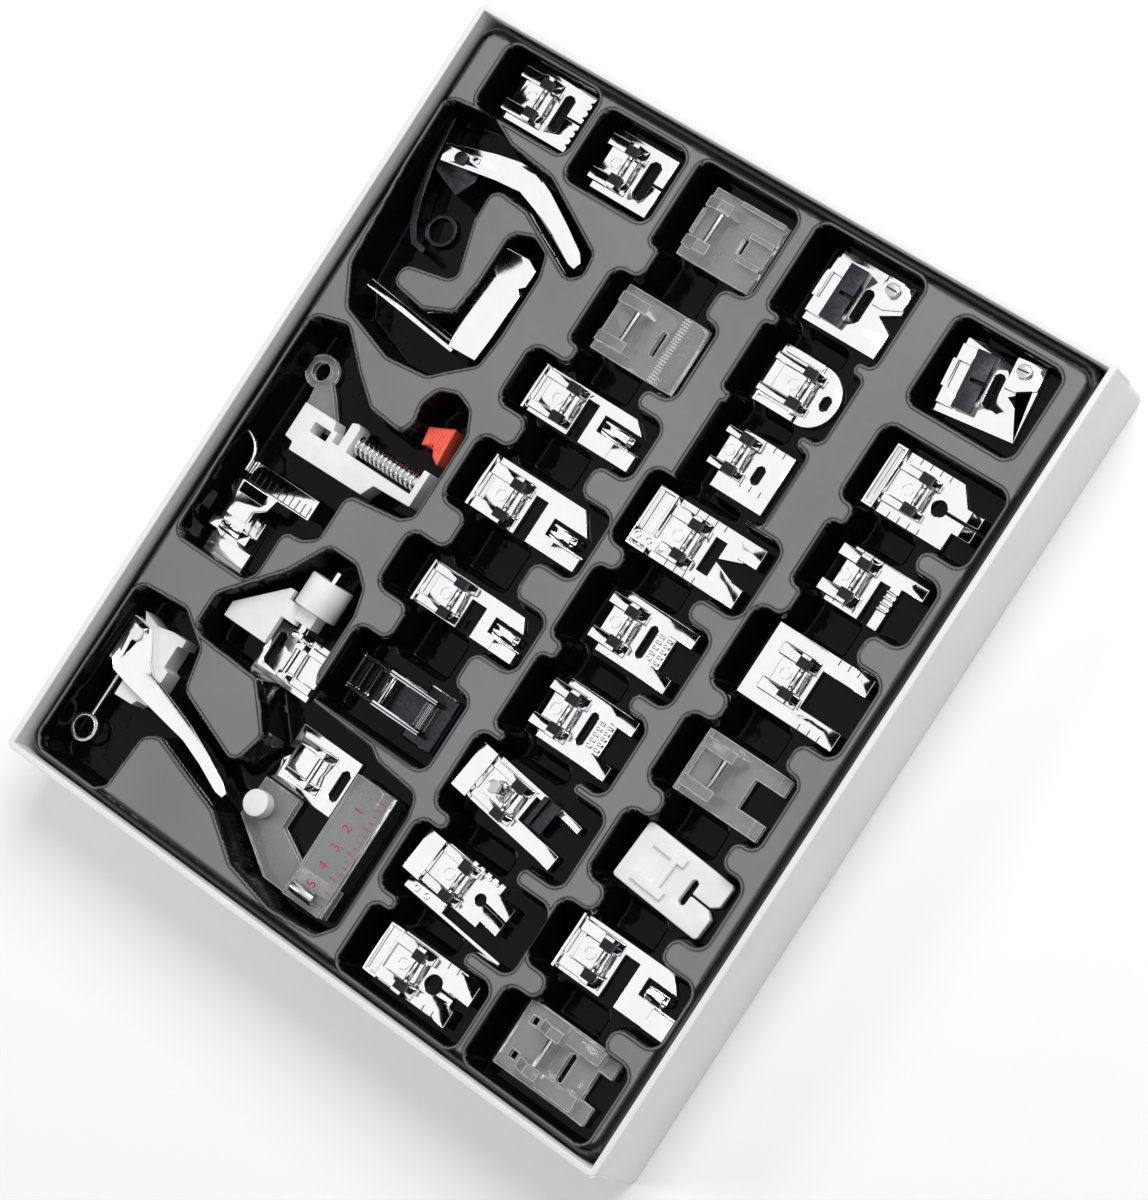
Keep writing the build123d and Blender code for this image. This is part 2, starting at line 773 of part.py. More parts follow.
rounded_seat = seat(place_shares["rounded_foot"], foot_floor)
with BuildPart() as rounded:
    with BuildSketch(rounded_seat):
        with BuildLine():
            Polyline(
                (rounded_start, rounded_half),
                (-rounded_heel, rounded_half),
                (-rounded_heel, -rounded_half),
                (rounded_start, -rounded_half),
            )
            nose = rounded_toe - rounded_start
            EllipticalCenterArc((rounded_start, 0), nose, rounded_half, -90, arc_size=180)
        make_face()
    extrude(amount=sole)
    cross_slot(rounded_seat, rounded_slot_back, rounded_slot_front, rounded_slot_half)
    for y in (-rounded_half, rounded_half - rounded_bar):
        block(rounded_seat, sole - rounded_heel, pin_radius, y, y + rounded_bar, 0, rail_top)
    rails(rounded_seat, narrow_rail, rounded_heel)
    tongue(rounded_seat, rounded_heel - 2 * sole)
finish_foot("rounded_foot", rounded.part, snap_pin(rounded_seat))

# Straight stitch foot: a square sole, wider on one side, with a short needle hole
straight_heel = 4.5
straight_toe = 13.0
straight_low = -10.8
straight_high = 7.2
straight_slot_back = 4.7
straight_slot_front = 7.4
straight_slot_half = 2.7
straight_slot_y = -1.9
straight_back = 8.4

straight_seat = seat(place_shares["straight_foot"], foot_floor)
with BuildPart() as straight:
    block(straight_seat, -straight_heel, straight_toe, straight_low, straight_high, 0, sole)
    cross_slot(
        straight_seat, straight_slot_back, straight_slot_front, straight_slot_half, straight_slot_y
    )
    rails(straight_seat, narrow_rail, straight_back)
    tongue(straight_seat, straight_back - sole)
finish_foot("straight_foot", straight.part, snap_pin(straight_seat))

# Quilting foot: a raised heel frame, a square needle slot, a notched toe and a guide blade at one side
quilting_frame = 15.9
quilting_heel = 9.4
quilting_toe = 15.4
quilting_tip = 20.4
quilting_half = 9.1
quilting_slot_back = 4.6
quilting_slot_front = 8.3
quilting_slot_half = 5.1
quilting_notch_half = 3.2
quilting_wall = 0.9
quilting_frame_top = 5.0
blade_y = -5.6
blade_half = 1.8
blade_tail = 14.8
blade_end = 6.2
rivet_radius = 0.9
rivet_top = 0.5
rivet_step = 3.8


def heel_frame(frame, back, front, half, top):
    """The thin walled box behind the rails that steadies the foot on its ankle."""
    block(frame, -back, -front, -half, half, 0, top)
    inner = half - quilting_wall
    hollow = (quilting_wall - back, -front - quilting_wall, -inner, inner)
    block(frame, *hollow, sole, top + overrun, Mode.SUBTRACT)


quilting_seat = seat(place_shares["quilting_foot"], foot_floor)
with BuildPart() as quilting:
    block(quilting_seat, -quilting_heel, quilting_toe, -quilting_half, quilting_half, 0, sole)
    heel_frame(quilting_seat, quilting_frame, quilting_heel, quilting_half, quilting_frame_top)
    for y0, y1 in ((quilting_notch_half, quilting_half), (-quilting_half, -quilting_notch_half)):
        toe_prong(quilting_seat, quilting_toe, y0, y1, quilting_tip - quilting_toe)
    square_slot = (quilting_slot_back, quilting_slot_front, -quilting_slot_half, quilting_slot_half)
    block(quilting_seat, *square_slot, -overrun, sole + overrun, Mode.SUBTRACT)
    wedge = [
        (quilting_slot_front - overrun, 0),
        (quilting_toe + overrun, -quilting_notch_half),
        (quilting_toe + overrun, quilting_notch_half),
    ]
    slab(quilting_seat, wedge, -overrun, sole + overrun, Mode.SUBTRACT)
    rails(quilting_seat, wide_rail, quilting_heel)
    tongue(quilting_seat, quilting_heel)
finish_foot("quilting_foot", quilting.part, snap_pin(quilting_seat))

with BuildPart() as quilting_blade:
    block(
        quilting_seat,
        -blade_tail,
        -blade_end,
        blade_y - blade_half,
        blade_y + blade_half,
        quilting_frame_top,
        quilting_frame_top + sole,
    )
    for step in (1, 2):
        x = rivet_step * step - blade_tail - rivet_step / 2
        top = quilting_frame_top + sole
        upright(quilting_seat, x, blade_y, rivet_radius, top, top + rivet_top, sides=eye_sides)
finish_foot("quilting_blade", quilting_blade.part)

# Quarter inch foot: a narrow toe with a round needle hole and a slit
quarter_frame = 13.3
quarter_heel = 9.6
quarter_shoulder = 7.8
quarter_neck = 11.8
quarter_toe = 16.0
quarter_tip = 18.3
quarter_half = 9.2
quarter_nose_half = 3.9
quarter_hole_x = 5.2
quarter_hole = 2.3

quarter_seat = seat(place_shares["quarter_inch_foot"], foot_floor)
with BuildPart() as quarter:
    outline = [
        (-quarter_heel, -quarter_half),
        (quarter_neck, -quarter_half),
        (quarter_neck, -quarter_nose_half),
        (quarter_toe, -quarter_nose_half),
        (quarter_toe, quarter_nose_half),
        (quarter_neck, quarter_nose_half),
        (quarter_shoulder, quarter_half),
        (-quarter_heel, quarter_half),
    ]
    slab(quarter_seat, outline, 0, sole)
    nose = quarter_tip - quarter_toe
    toe_prong(quarter_seat, quarter_toe, -quarter_nose_half, quarter_nose_half, nose)
    heel_frame(quarter_seat, quarter_frame, quarter_heel, quarter_half, quilting_frame_top)
    upright(quarter_seat, quarter_hole_x, 0, quarter_hole, *needle_cut, sides=eye_sides)
    toe_slit(quarter_seat, quarter_hole_x, quarter_tip + overrun)
    rails(quarter_seat, narrow_rail, quarter_heel)
    tongue(quarter_seat, quarter_heel)
finish_foot("quarter_inch_foot", quarter.part, snap_pin(quarter_seat))

# Braid foot: a plain sole with a round needle hole, a slit and a bevelled toe
braid_frame = 14.1
braid_heel = 9.2
braid_toe = 13.0
braid_tip = 18.6
braid_half = 7.7
braid_hole_x = 5.6
braid_hole = 2.7
braid_prong = (0.8, 7.1)
braid_prong_low = (-7.7, -2.4)
braid_prong_reach = 2.8

braid_seat = seat(place_shares["braid_foot"], foot_floor)
with BuildPart() as braid:
    block(braid_seat, -braid_heel, braid_toe, -braid_half, braid_half, 0, sole)
    toe_prong(braid_seat, braid_toe, *braid_prong, braid_tip - braid_toe)
    toe_prong(braid_seat, braid_toe, *braid_prong_low, braid_prong_reach)
    heel_frame(braid_seat, braid_frame, braid_heel, braid_half, rail_top)
    upright(braid_seat, braid_hole_x, 0, braid_hole, *needle_cut, sides=eye_sides)
    toe_slit(braid_seat, braid_hole_x, braid_toe + overrun)
    rails(braid_seat, wide_rail, braid_heel)
    tongue(braid_seat, braid_heel)
finish_foot("braid_foot", braid.part, snap_pin(braid_seat))

# Fringe and looping feet: an arched needle slot, two rows of small hooks and two curled toe prongs
fringe_heel = 6.0
fringe_toe = 13.0
fringe_tip = 18.9
fringe_half = 9.3
fringe_prong_inner = 4.8
fringe_slot_back = 4.6
fringe_slot_front = 7.0
fringe_slot_half = 4.9
fringe_rows = 2
fringe_hooks = 5
fringe_row_start = 8.2
fringe_row_step = 2.7
fringe_hook_length = 1.6
fringe_hook_width = 0.7
fringe_hook_step = 1.7
fringe_hook_top = 1.0


def fringe_foot(frame):
    """One of the two like feet."""
    block(frame, -fringe_heel, fringe_toe, -fringe_half, fringe_half, 0, sole)
    for y0, y1 in ((fringe_prong_inner, fringe_half), (-fringe_half, -fringe_prong_inner)):
        toe_prong(frame, fringe_toe, y0, y1, fringe_tip - fringe_toe)
    cross_slot(frame, fringe_slot_back, fringe_slot_front, fringe_slot_half)
    for row in range(fringe_rows):
        x = fringe_row_start + row * fringe_row_step
        for hook in range(fringe_hooks):
            y = (hook - (fringe_hooks - 1) / 2) * fringe_hook_step
            block(
                frame,
                x,
                x + fringe_hook_length,
                y - fringe_hook_width / 2,
                y + fringe_hook_width / 2,
                0,
                sole + fringe_hook_top,
            )
    rails(frame, wide_rail)
    tongue(frame, fringe_heel + sole)


fringe_seat = seat(place_shares["fringe_foot"], foot_floor)
with BuildPart() as fringe:
    fringe_foot(fringe_seat)
finish_foot("fringe_foot", fringe.part, snap_pin(fringe_seat))

looping_seat = seat(place_shares["looping_foot"], foot_floor)
with BuildPart() as looping:
    fringe_foot(looping_seat)
finish_foot("looping_foot", looping.part, snap_pin(looping_seat))

# Overcast foot: a needle slot open to one side, with a comb and one toe arm beyond it
overcast_heel = 6.6
overcast_low = -8.6
overcast_high = 8.0
overcast_slot_back = 4.5
overcast_slot_front = 7.6
overcast_slot_end = 3.3
overcast_comb_front = 10.8
overcast_arm_y = 4.2
overcast_arm_toe = 15.4
overcast_arm_tip = 18.2
overcast_teeth = 4
overcast_tooth = 0.6
overcast_tooth_step = 1.7

overcast_seat = seat(place_shares["overcast_foot"], foot_floor)
with BuildPart() as overcast:
    outline = [
        (-overcast_heel, overcast_low),
        (overcast_slot_back, overcast_low),
        (overcast_slot_back, overcast_slot_end),
        (overcast_slot_front, overcast_slot_end),
        (overcast_slot_front, overcast_low),
        (overcast_comb_front, overcast_low),
        (overcast_comb_front, overcast_arm_y),
        (overcast_arm_toe, overcast_arm_y),
        (overcast_arm_toe, overcast_high),
        (-overcast_heel, overcast_high),
    ]
    slab(overcast_seat, outline, 0, sole)
    reach = overcast_arm_tip - overcast_arm_toe
    toe_prong(overcast_seat, overcast_arm_toe, overcast_arm_y, overcast_high, reach)
    for tooth in range(overcast_teeth):
        y = overcast_slot_end - overcast_tooth_step * (tooth + 3 / 4)
        block(
            overcast_seat,
            overcast_slot_front,
            overcast_comb_front,
            y - overcast_tooth / 2,
            y + overcast_tooth / 2,
            0,
            sole + fringe_hook_top,
        )
    rails(overcast_seat, wide_rail)
    tongue(overcast_seat, overcast_heel)
finish_foot("overcast_foot", overcast.part, snap_pin(overcast_seat))

# Open toe foot: a broad sole with two prongs and a clear view between them
open_heel = 14.2
open_toe = 15.2
open_tip = 18.2
open_half = 11.0
open_inner = 5.7
open_gap = 3.6

open_seat = seat(place_shares["open_toe_foot"], foot_floor)
with BuildPart() as open_toe_foot:
    outline = [
        (-open_heel, -open_half),
        (open_toe, -open_half),
        (open_toe, -open_inner),
        (open_gap, -open_inner),
        (open_gap, open_inner),
        (open_toe, open_inner),
        (open_toe, open_half),
        (-open_heel, open_half),
    ]
    slab(open_seat, outline, 0, sole)
    for y0, y1 in ((open_inner, open_half), (-open_half, -open_inner)):
        toe_prong(open_seat, open_toe, y0, y1, open_tip - open_toe)
    rails(open_seat, wide_rail)
    tongue(open_seat, rail_back - sole)
finish_foot("open_toe_foot", open_toe_foot.part, snap_pin(open_seat))

# Clear open toe foot: the same idea, moulded in clear plastic round a steel pin
clear_open_heel = 9.4
clear_open_toe = 15.0
clear_open_tip = 18.0
clear_open_half = 9.3
clear_open_inner = 4.6
clear_open_gap = 8.4
clear_open_pin_half = 7.4

clear_open_seat = seat(place_shares["clear_open_foot"], foot_floor)
with BuildPart() as clear_open:
    outline = [
        (-clear_open_heel, -clear_open_half),
        (clear_open_toe, -clear_open_half),
        (clear_open_toe, -clear_open_inner),
        (clear_open_gap, -clear_open_inner),
        (clear_open_gap, clear_open_inner),
        (clear_open_toe, clear_open_inner),
        (clear_open_toe, clear_open_half),
        (-clear_open_heel, clear_open_half),
    ]
    slab(clear_open_seat, outline, 0, clear_sole)
    for y0, y1 in (
        (clear_open_inner, clear_open_half),
        (-clear_open_half, -clear_open_inner),
    ):
        reach = clear_open_tip - clear_open_toe
        toe_prong(clear_open_seat, clear_open_toe, y0, y1, reach, toe_rise / 2)
    cheeks(clear_open_seat, clear_open_heel - slit, clear_open_gap - clear_sole, clear_open_pin_half)
    rear = sole - clear_open_heel
    block(clear_open_seat, -clear_open_heel, rear, -clear_open_half, clear_open_half, 0, rail_top)
finish_foot("clear_open_foot", clear_open.part)
with BuildPart() as clear_open_pin:
    add(clear_pin(clear_open_seat, clear_open_pin_half))

# Clear window foot: two square windows over the heel, pale side rails and an open toe
window_heel = 12.0
window_toe = 14.4
window_tip = 19.0
window_half = 9.8
window_inner = 4.5
window_x = -8.2
window_y = 5.3
window_side = 2.6
window_rail_top = 4.4
window_slot_back = 5.2
window_slot_front = 7.6

window_seat = seat(place_shares["clear_window_foot"], foot_floor)
with BuildPart() as clear_window:
    block(window_seat, -window_heel, window_toe, -window_half, window_half, 0, clear_sole)
    for y0, y1 in ((window_inner, window_half), (-window_half, -window_inner)):
        reach = window_tip - window_toe
        toe_prong(window_seat, window_toe, y0, y1, reach, toe_rise / 2)
        block(window_seat, ear_front, window_toe, y0 + overrun, y1, 0, window_rail_top)
    cross_slot(window_seat, window_slot_back, window_slot_front, window_inner)
    for y in (-window_y, window_y):
        x0 = window_x - window_side / 2
        y0 = y - window_side / 2
        block(window_seat, x0, x0 + window_side, y0, y0 + window_side, -overrun, rail_top, Mode.SUBTRACT)
    cheeks(window_seat, -window_x - window_side, window_slot_back, clear_open_pin_half)
finish_foot("clear_window_foot", clear_window.part)
with BuildPart() as clear_window_pin:
    add(clear_pin(window_seat, clear_open_pin_half))

# Glide foot: one smooth white moulding with its own pin, a needle slot and a notched toe
glide_turn = -4
glide_heel = 12.4
glide_toe = 17.6
glide_half = 8.8
glide_corner = 1.2
glide_sole = 2.4
glide_slot_back = 7.0
glide_slot_front = 9.2
glide_slot_half = 3.9
glide_notch = 2.6
glide_notch_half = 2.8
glide_rail_back = 7.6
glide_rail_front = 3.2
glide_rail_inner = 4.0
glide_rail_outer = 6.6
glide_rail_top = 3.4
glide_bar_half = 1.1

glide_seat = seat(place_shares["glide_foot"], foot_floor, glide_turn)
with BuildPart() as glide:
    with BuildSketch(glide_seat):
        with Locations(((glide_toe - glide_heel) / 2, 0)):
            RectangleRounded(glide_heel + glide_toe, 2 * glide_half, glide_corner)
    extrude(amount=glide_sole)
    with BuildSketch(glide_seat.offset(-overrun)):
        with Locations(((glide_slot_back + glide_slot_front) / 2, 0)):
            SlotOverall(2 * glide_slot_half, glide_slot_front - glide_slot_back, rotation=90)
    extrude(amount=glide_sole + 2 * overrun, mode=Mode.SUBTRACT)
    toe_slit(glide_seat, glide_slot_front - slit, glide_toe + overrun)
    wedge = [
        (glide_toe - glide_notch, 0),
        (glide_toe + overrun, -glide_notch_half),
        (glide_toe + overrun, glide_notch_half),
    ]
    slab(glide_seat, wedge, -overrun, glide_sole + overrun, Mode.SUBTRACT)
    for y0, y1 in ((glide_rail_inner, glide_rail_outer), (-glide_rail_outer, -glide_rail_inner)):
        block(glide_seat, -glide_rail_back, glide_rail_front, y0, y1, 0, glide_rail_top)
    bar = glide_rail_inner + slit
    block(glide_seat, -glide_bar_half, glide_bar_half, -bar, bar, 0, glide_rail_top)
finish_foot("glide_foot", glide.part)

# Pieces that lie deeper in the tray: outlines below are shares of each piece's own length
low_place_shares = {
    "lever_darning_foot": (-0.440, 0.344),
    "screw_on_foot": (-0.2605, 0.220),
    "spring_darning_foot": (-0.351, 0.004),
    "red_clip": (-0.234, 0.053),
    "ruler_foot": (-0.429, -0.163),
    "stitch_guide_foot": (-0.248, -0.2445),
    "edge_gauge_foot": (-0.132, -0.332),
    "ring_darning_foot": (-0.460, -0.320),
}


def shaped(frame, shares, length, low, high, mode=Mode.ADD):
    """An upright prism on an outline given as shares of a length."""
    slab(frame, [(x * length, y * length) for x, y in shares], low, high, mode)


def moved(frame, x, y=0):
    """The same frame, moved along itself."""
    return Plane(origin=frame.from_local_coords((x, y, 0)), x_dir=frame.x_dir, z_dir=frame.z_dir)


def pivot(frame, x, y, low, high):
    """A rivet: a shank through a lever of this height and a wider head above it."""
    upright(frame, x, y, pivot_radius, low, high)
    upright(frame, x, y, pivot_head, high, high + pivot_head_top, sides=eye_sides)


pivot_radius = 1.2
pivot_head = 2.0
pivot_head_top = 0.7

# Blind hem foot: a tilted heel plate, an open body, two arms and a blade that a small screw shifts
hem_turn = -7
hem_heel = 17.0
hem_plate = 5.6
hem_half = 7.4
hem_plate_top = 5.0
hem_body_front = 3.6
hem_arm_front = 17.4
hem_arm_tip = 20.0
hem_arm_inner = 5.2
hem_low_arm_inner = -2.6
hem_blade_back = 6.8
hem_blade_front = 12.0
hem_blade_low = -1.6
hem_blade_top = 5.4
hem_screw_x = -6.4
hem_screw_radius = 1.3
hem_screw_head = 1.9
hem_screw_collar = 4.6
hem_screw_top = 6.0

hem_seat = seat(place_shares["blind_hem_foot"], foot_floor, hem_turn)
with BuildPart() as blind_hem:
    block(hem_seat, -hem_heel, hem_body_front, -hem_half, hem_half, 0, sole)
    block(hem_seat, -hem_heel, hem_plate - hem_heel, -hem_half, hem_half, 0, hem_plate_top)
    for y0, y1 in ((hem_arm_inner, hem_half), (-hem_half, hem_low_arm_inner)):
        block(hem_seat, 0, hem_arm_front, y0, y1, 0, sole)
        toe_prong(hem_seat, hem_arm_front, y0, y1, hem_arm_tip - hem_arm_front, toe_rise / 2)
    rails(hem_seat, narrow_rail, hem_heel - hem_plate)
    shank = hem_screw_radius + pin_clearance
    upright(hem_seat, hem_screw_x, 0, shank, -overrun, sole + overrun, Mode.SUBTRACT)
finish_foot("blind_hem_foot", blind_hem.part, snap_pin(hem_seat))

with BuildPart() as hem_guide:
    level = sole + rest_gap
    block(hem_seat, hem_blade_back, hem_blade_front, hem_blade_low, hem_half, level, level + sole)
    block(hem_seat, hem_blade_back, hem_blade_back + sole, hem_blade_low, hem_half, level, hem_blade_top)
    block(hem_seat, hem_blade_back, hem_blade_front, hem_blade_low, hem_blade_low + slit, 0, level + sole)
finish_foot("blind_hem_guide", hem_guide.part)

with BuildPart() as hem_screw:
    upright(hem_seat, hem_screw_x, 0, hem_screw_radius, 0, hem_screw_top)
    upright(hem_seat, hem_screw_x, 0, hem_screw_head, hem_screw_collar, hem_screw_top)
finish_foot("blind_hem_screw", hem_screw.part)

# Edge joining foot: a heel plate, a small body with a round needle hole and a long guide plate at one side
edge_turn = -5
edge_heel = 16.0
edge_plate = 6.0
edge_plate_top = 5.0
edge_half = 6.5
edge_hole_x = 6.8
edge_hole = 1.8
edge_toe_back = 12.0
edge_toe_tip = 17.6
edge_toe_half = 4.4
edge_bumps = 5
edge_bump = 0.9
edge_bump_step = 2.6
guide_plate_back = 13.4
guide_plate_front = 0.4
guide_plate_low = -10.4
guide_plate_high = -6.9
guide_plate_top = 2.4
guide_blade_front = 22.6
guide_blade = 1.0

edge_seat = seat(place_shares["edge_joining_foot"], foot_floor, edge_turn)
with BuildPart() as edge_joining:
    block(edge_seat, -edge_heel, edge_toe_back - sole, -edge_half, edge_half, 0, sole)
    block(edge_seat, -edge_heel, edge_plate - edge_heel, -edge_half, edge_half, 0, edge_plate_top)
    block(edge_seat, 0, edge_toe_back, -edge_toe_half, edge_toe_half, 0, sole)
    toe_prong(edge_seat, edge_toe_back, -edge_toe_half, edge_toe_half, edge_toe_tip - edge_toe_back)
    for bump in range(edge_bumps):
        x = bump * edge_bump_step - edge_bump
        block(edge_seat, x, x + sole, edge_half - edge_bump, edge_half + edge_bump, 0, rail_top)
    upright(edge_seat, edge_hole_x, 0, edge_hole, *needle_cut, sides=eye_sides)
    toe_slit(edge_seat, edge_hole_x, edge_toe_tip + overrun)
    rails(edge_seat, narrow_rail, edge_heel - edge_plate, ear_top)
    tongue(edge_seat, edge_heel - edge_plate)
finish_foot("edge_joining_foot", edge_joining.part, snap_pin(edge_seat))

with BuildPart() as edge_guide:
    edges = (guide_plate_low, guide_plate_high, 0, guide_plate_top)
    block(edge_seat, -guide_plate_back, guide_plate_front, *edges)
    edges = (guide_plate_low, guide_plate_low + guide_blade, 0, guide_plate_top)
    block(edge_seat, 0, guide_blade_front, *edges)
    for step in (1, 2):
        x = rivet_step * step - guide_plate_back
        y = (guide_plate_low + guide_plate_high) / 2
        upright(edge_seat, x, y, rivet_radius, guide_plate_top, guide_plate_top + rivet_top, sides=eye_sides)
finish_foot("edge_guide_plate", edge_guide.part)

# Roller foot: two side walls on a narrow sole, a broad toe plate and a roller that turns in its window
roller_heel = 13.0
roller_neck = 9.0
roller_toe = 19.0
roller_half = 4.4
roller_wall = 1.0
roller_wall_top = 5.6
roller_toe_half = 8.0
roller_radius = 1.9
roller_journal = 0.7
roller_x = 12.6
roller_window = 2.4
roller_z = 2.4
roller_bars = 4
roller_pin_z = 4.4

roller_seat = seat(place_shares["roller_foot"], foot_floor)
with BuildPart() as roller_body:
    block(roller_seat, -roller_heel, roller_neck, -roller_half, roller_half, 0, sole)
    block(roller_seat, roller_neck, roller_toe, -roller_toe_half, roller_toe_half, 0, sole)
    window = (roller_x - roller_window, roller_x + roller_window, -roller_half, roller_half)
    block(roller_seat, *window, -overrun, sole + overrun, Mode.SUBTRACT)
    wall = [
        (-roller_heel, 0),
        (-roller_heel, rail_top),
        (-ear_back, roller_wall_top),
        (roller_x + roller_window, roller_wall_top),
        (roller_x + roller_window + sole, 0),
    ]
    for y0 in (-roller_half - roller_wall, roller_half):
        profile(roller_seat, wall, y0, y0 + roller_wall)
    bore = roller_journal + pin_clearance
    reach = roller_half + roller_wall
    cross_rod(roller_seat, roller_x, roller_z, bore, -reach, reach, Mode.SUBTRACT)
    for bar in range(roller_bars):
        x = bar * roller_heel / roller_bars - roller_heel
        block(roller_seat, x, x + roller_wall, -roller_half, roller_half, 0, rail_top)
with BuildPart() as roller_pin:
    cross_rod(roller_seat, 0, roller_pin_z, pin_radius, -roller_half, roller_half)
finish_foot("roller_foot", roller_body.part, roller_pin.part)

with BuildPart() as foot_roller:
    end = roller_half - rest_gap
    cross_rod(roller_seat, roller_x, roller_z, roller_radius, -end, end)
    cross_rod(roller_seat, roller_x, roller_z, roller_journal, -reach, reach)
finish_foot("foot_roller", foot_roller.part)

# Lever darning foot: a bent leaf spring with a clamp block and a ring, under a long lifting arm
lever_length = 60.0
lever_foot_height = 8.0
lever_thickness = 1.6
lever_shift = 1.2
lever_arm_shares = [
    (-0.100, 0.030), (0.033, 0.068), (0.167, 0.105), (0.300, 0.130), (0.400, 0.125),
    (0.517, 0.078), (0.683, -0.012), (0.817, -0.092), (0.847, -0.132), (0.833, -0.172),
    (0.792, -0.165), (0.650, -0.098), (0.500, -0.032), (0.375, 0.007), (0.233, -0.005),
    (0.067, -0.032), (-0.077, -0.055),
]
leaf_shares = [
    (-0.150, 0.150), (-0.125, 0.158), (-0.092, -0.075), (-0.042, -0.258), (0.003, -0.367),
    (0.050, -0.432), (0.117, -0.448), (0.117, -0.472), (0.037, -0.462), (-0.023, -0.392),
    (-0.077, -0.275), (-0.119, -0.092),
]
clamp_shares = [(-0.100, 0.020), (0.130, 0.050), (0.150, -0.060), (0.100, -0.160), (-0.070, -0.100)]
darning_eye_shares = (0.075, -0.330)
darning_eye = 5.0
darning_eye_hole = 3.7
darning_eye_thickness = 1.6
lever_pivot_shares = (0.020, 0.000)
lever_rivet_x_share = 0.100
lever_rivet_y_share = 0.028

lever_seat = seat(low_place_shares["lever_darning_foot"], deep_floor)
lever_pivot_x = lever_shift + lever_pivot_shares[0] * lever_length
lever_pivot_y = lever_pivot_shares[1] * lever_length
lever_top = lever_foot_height + rest_gap + lever_thickness
with BuildPart() as lever_foot:
    shaped(lever_seat, leaf_shares, lever_length, 0, lever_foot_height)
    shaped(lever_seat, clamp_shares, lever_length, 0, lever_foot_height)
    eye_x = darning_eye_shares[0] * lever_length
    eye_y = darning_eye_shares[1] * lever_length
    upright(lever_seat, eye_x, eye_y, darning_eye, 0, darning_eye_thickness, sides=eye_sides)
    eye_cut = (darning_eye_hole, -overrun, lever_foot_height + overrun, Mode.SUBTRACT)
    upright(lever_seat, eye_x, eye_y, *eye_cut, sides=eye_sides)
    pivot(lever_seat, lever_pivot_x, lever_pivot_y, lever_foot_height, lever_top + rest_gap)
finish_foot("lever_darning_foot", lever_foot.part)

with BuildPart() as lever_arm:
    low = lever_foot_height + rest_gap
    shaped(moved(lever_seat, lever_shift), lever_arm_shares, lever_length, low, lever_top)
    bore = pivot_radius + pin_clearance
    upright(lever_seat, lever_pivot_x, lever_pivot_y, bore, 0, lever_top + overrun, Mode.SUBTRACT)
    x = lever_shift + lever_rivet_x_share * lever_length
    y = lever_rivet_y_share * lever_length
    upright(lever_seat, x, y, rivet_radius, lever_top, lever_top + rivet_top, sides=eye_sides)
finish_foot("lever_arm", lever_arm.part)

# Screw-on foot: a notched shank plate lying on its side, with its sole standing on edge
shank_length = 32.0
shank_shares = [
    (-0.188, 0.481), (0.062, 0.494), (0.178, 0.438), (0.178, 0.269), (0.125, 0.225),
    (0.178, 0.181), (0.163, -0.275), (0.144, -0.500), (-0.156, -0.512), (-0.188, -0.281),
    (-0.181, 0.169), (-0.131, 0.219), (-0.188, 0.269),
]
shank_low = 11.0
shank_high = 14.2
screw_sole_length = 34.5
screw_sole_start = 36.9
screw_sole_y = -17.9
screw_sole_thickness = 2.4
screw_sole_height = 12.0
screw_sole_turn = -6
screw_cheek = 1.5
screw_cheek_length = 14.0

shank_seat = seat(low_place_shares["screw_on_foot"], deep_floor)
with BuildPart() as screw_on:
    shaped(shank_seat, shank_shares, shank_length, shank_low, shank_high)
    sole_seat = shank_seat.rotated((0, 0, screw_sole_turn))
    far = screw_sole_length - screw_sole_start
    y1 = screw_sole_y + screw_sole_thickness
    block(sole_seat, -screw_sole_start, far, screw_sole_y, y1, 0, screw_sole_height)
    block(sole_seat, far - screw_cheek_length, far, y1, y1 + screw_cheek, 0, shank_low)
finish_foot("screw_on_foot", screw_on.part)

# Spring darning foot: a white body with a long bar, a steel spring on a rod and a clear ring that slides
darning_length = 46.0
darning_body_shares = [
    (-0.363, 0.041), (-0.109, 0.043), (-0.091, -0.013), (-0.057, -0.013), (-0.057, -0.078),
    (-0.009, -0.078), (-0.009, 0.087), (0.030, 0.104), (0.061, 0.087), (0.061, -0.087),
    (0.583, -0.087), (0.583, 0.087), (0.630, 0.087), (0.630, -0.152), (0.348, -0.165),
    (0.304, -0.252), (-0.287, -0.261), (-0.296, -0.209), (-0.363, -0.200),
]
darning_window_shares = [(-0.230, -0.030), (-0.100, -0.030), (-0.100, -0.100), (-0.230, -0.100)]
darning_foot_shares = [(0.100, -0.087), (0.630, -0.087), (0.630, -0.152), (0.348, -0.165), (0.100, -0.165)]
ring_stem_shares = [
    (-0.460, 0.190), (-0.400, 0.245), (-0.304, 0.152), (-0.200, 0.030), (-0.200, -0.060),
    (-0.330, -0.060), (-0.435, 0.013),
]
darning_low = 2.7
darning_high = 9.6
ring_thickness = 2.4
ring_x_share = -0.478
ring_y_share = 0.250
ring_outer = 5.0
ring_inner = 3.0
rod_start_share = 0.061
rod_end_share = 0.583
rod_radius = 1.1
spring_z = 6.2
spring_y_share = -0.004

darning_seat = seat(low_place_shares["spring_darning_foot"], deep_floor)
spring_y = spring_y_share * darning_length
rod_start = rod_start_share * darning_length
rod_end = rod_end_share * darning_length
with BuildPart() as darning_body:
    shaped(darning_seat, darning_body_shares, darning_length, darning_low, darning_high)
    shaped(darning_seat, darning_foot_shares, darning_length, 0, darning_low)
    cut = (darning_low - overrun, darning_high + overrun, Mode.SUBTRACT)
    shaped(darning_seat, darning_window_shares, darning_length, *cut)
with BuildPart() as darning_rod:
    long_rod(darning_seat, spring_y, spring_z, rod_radius, rod_start, rod_end)
finish_foot("spring_darning_foot", darning_body.part, darning_rod.part)

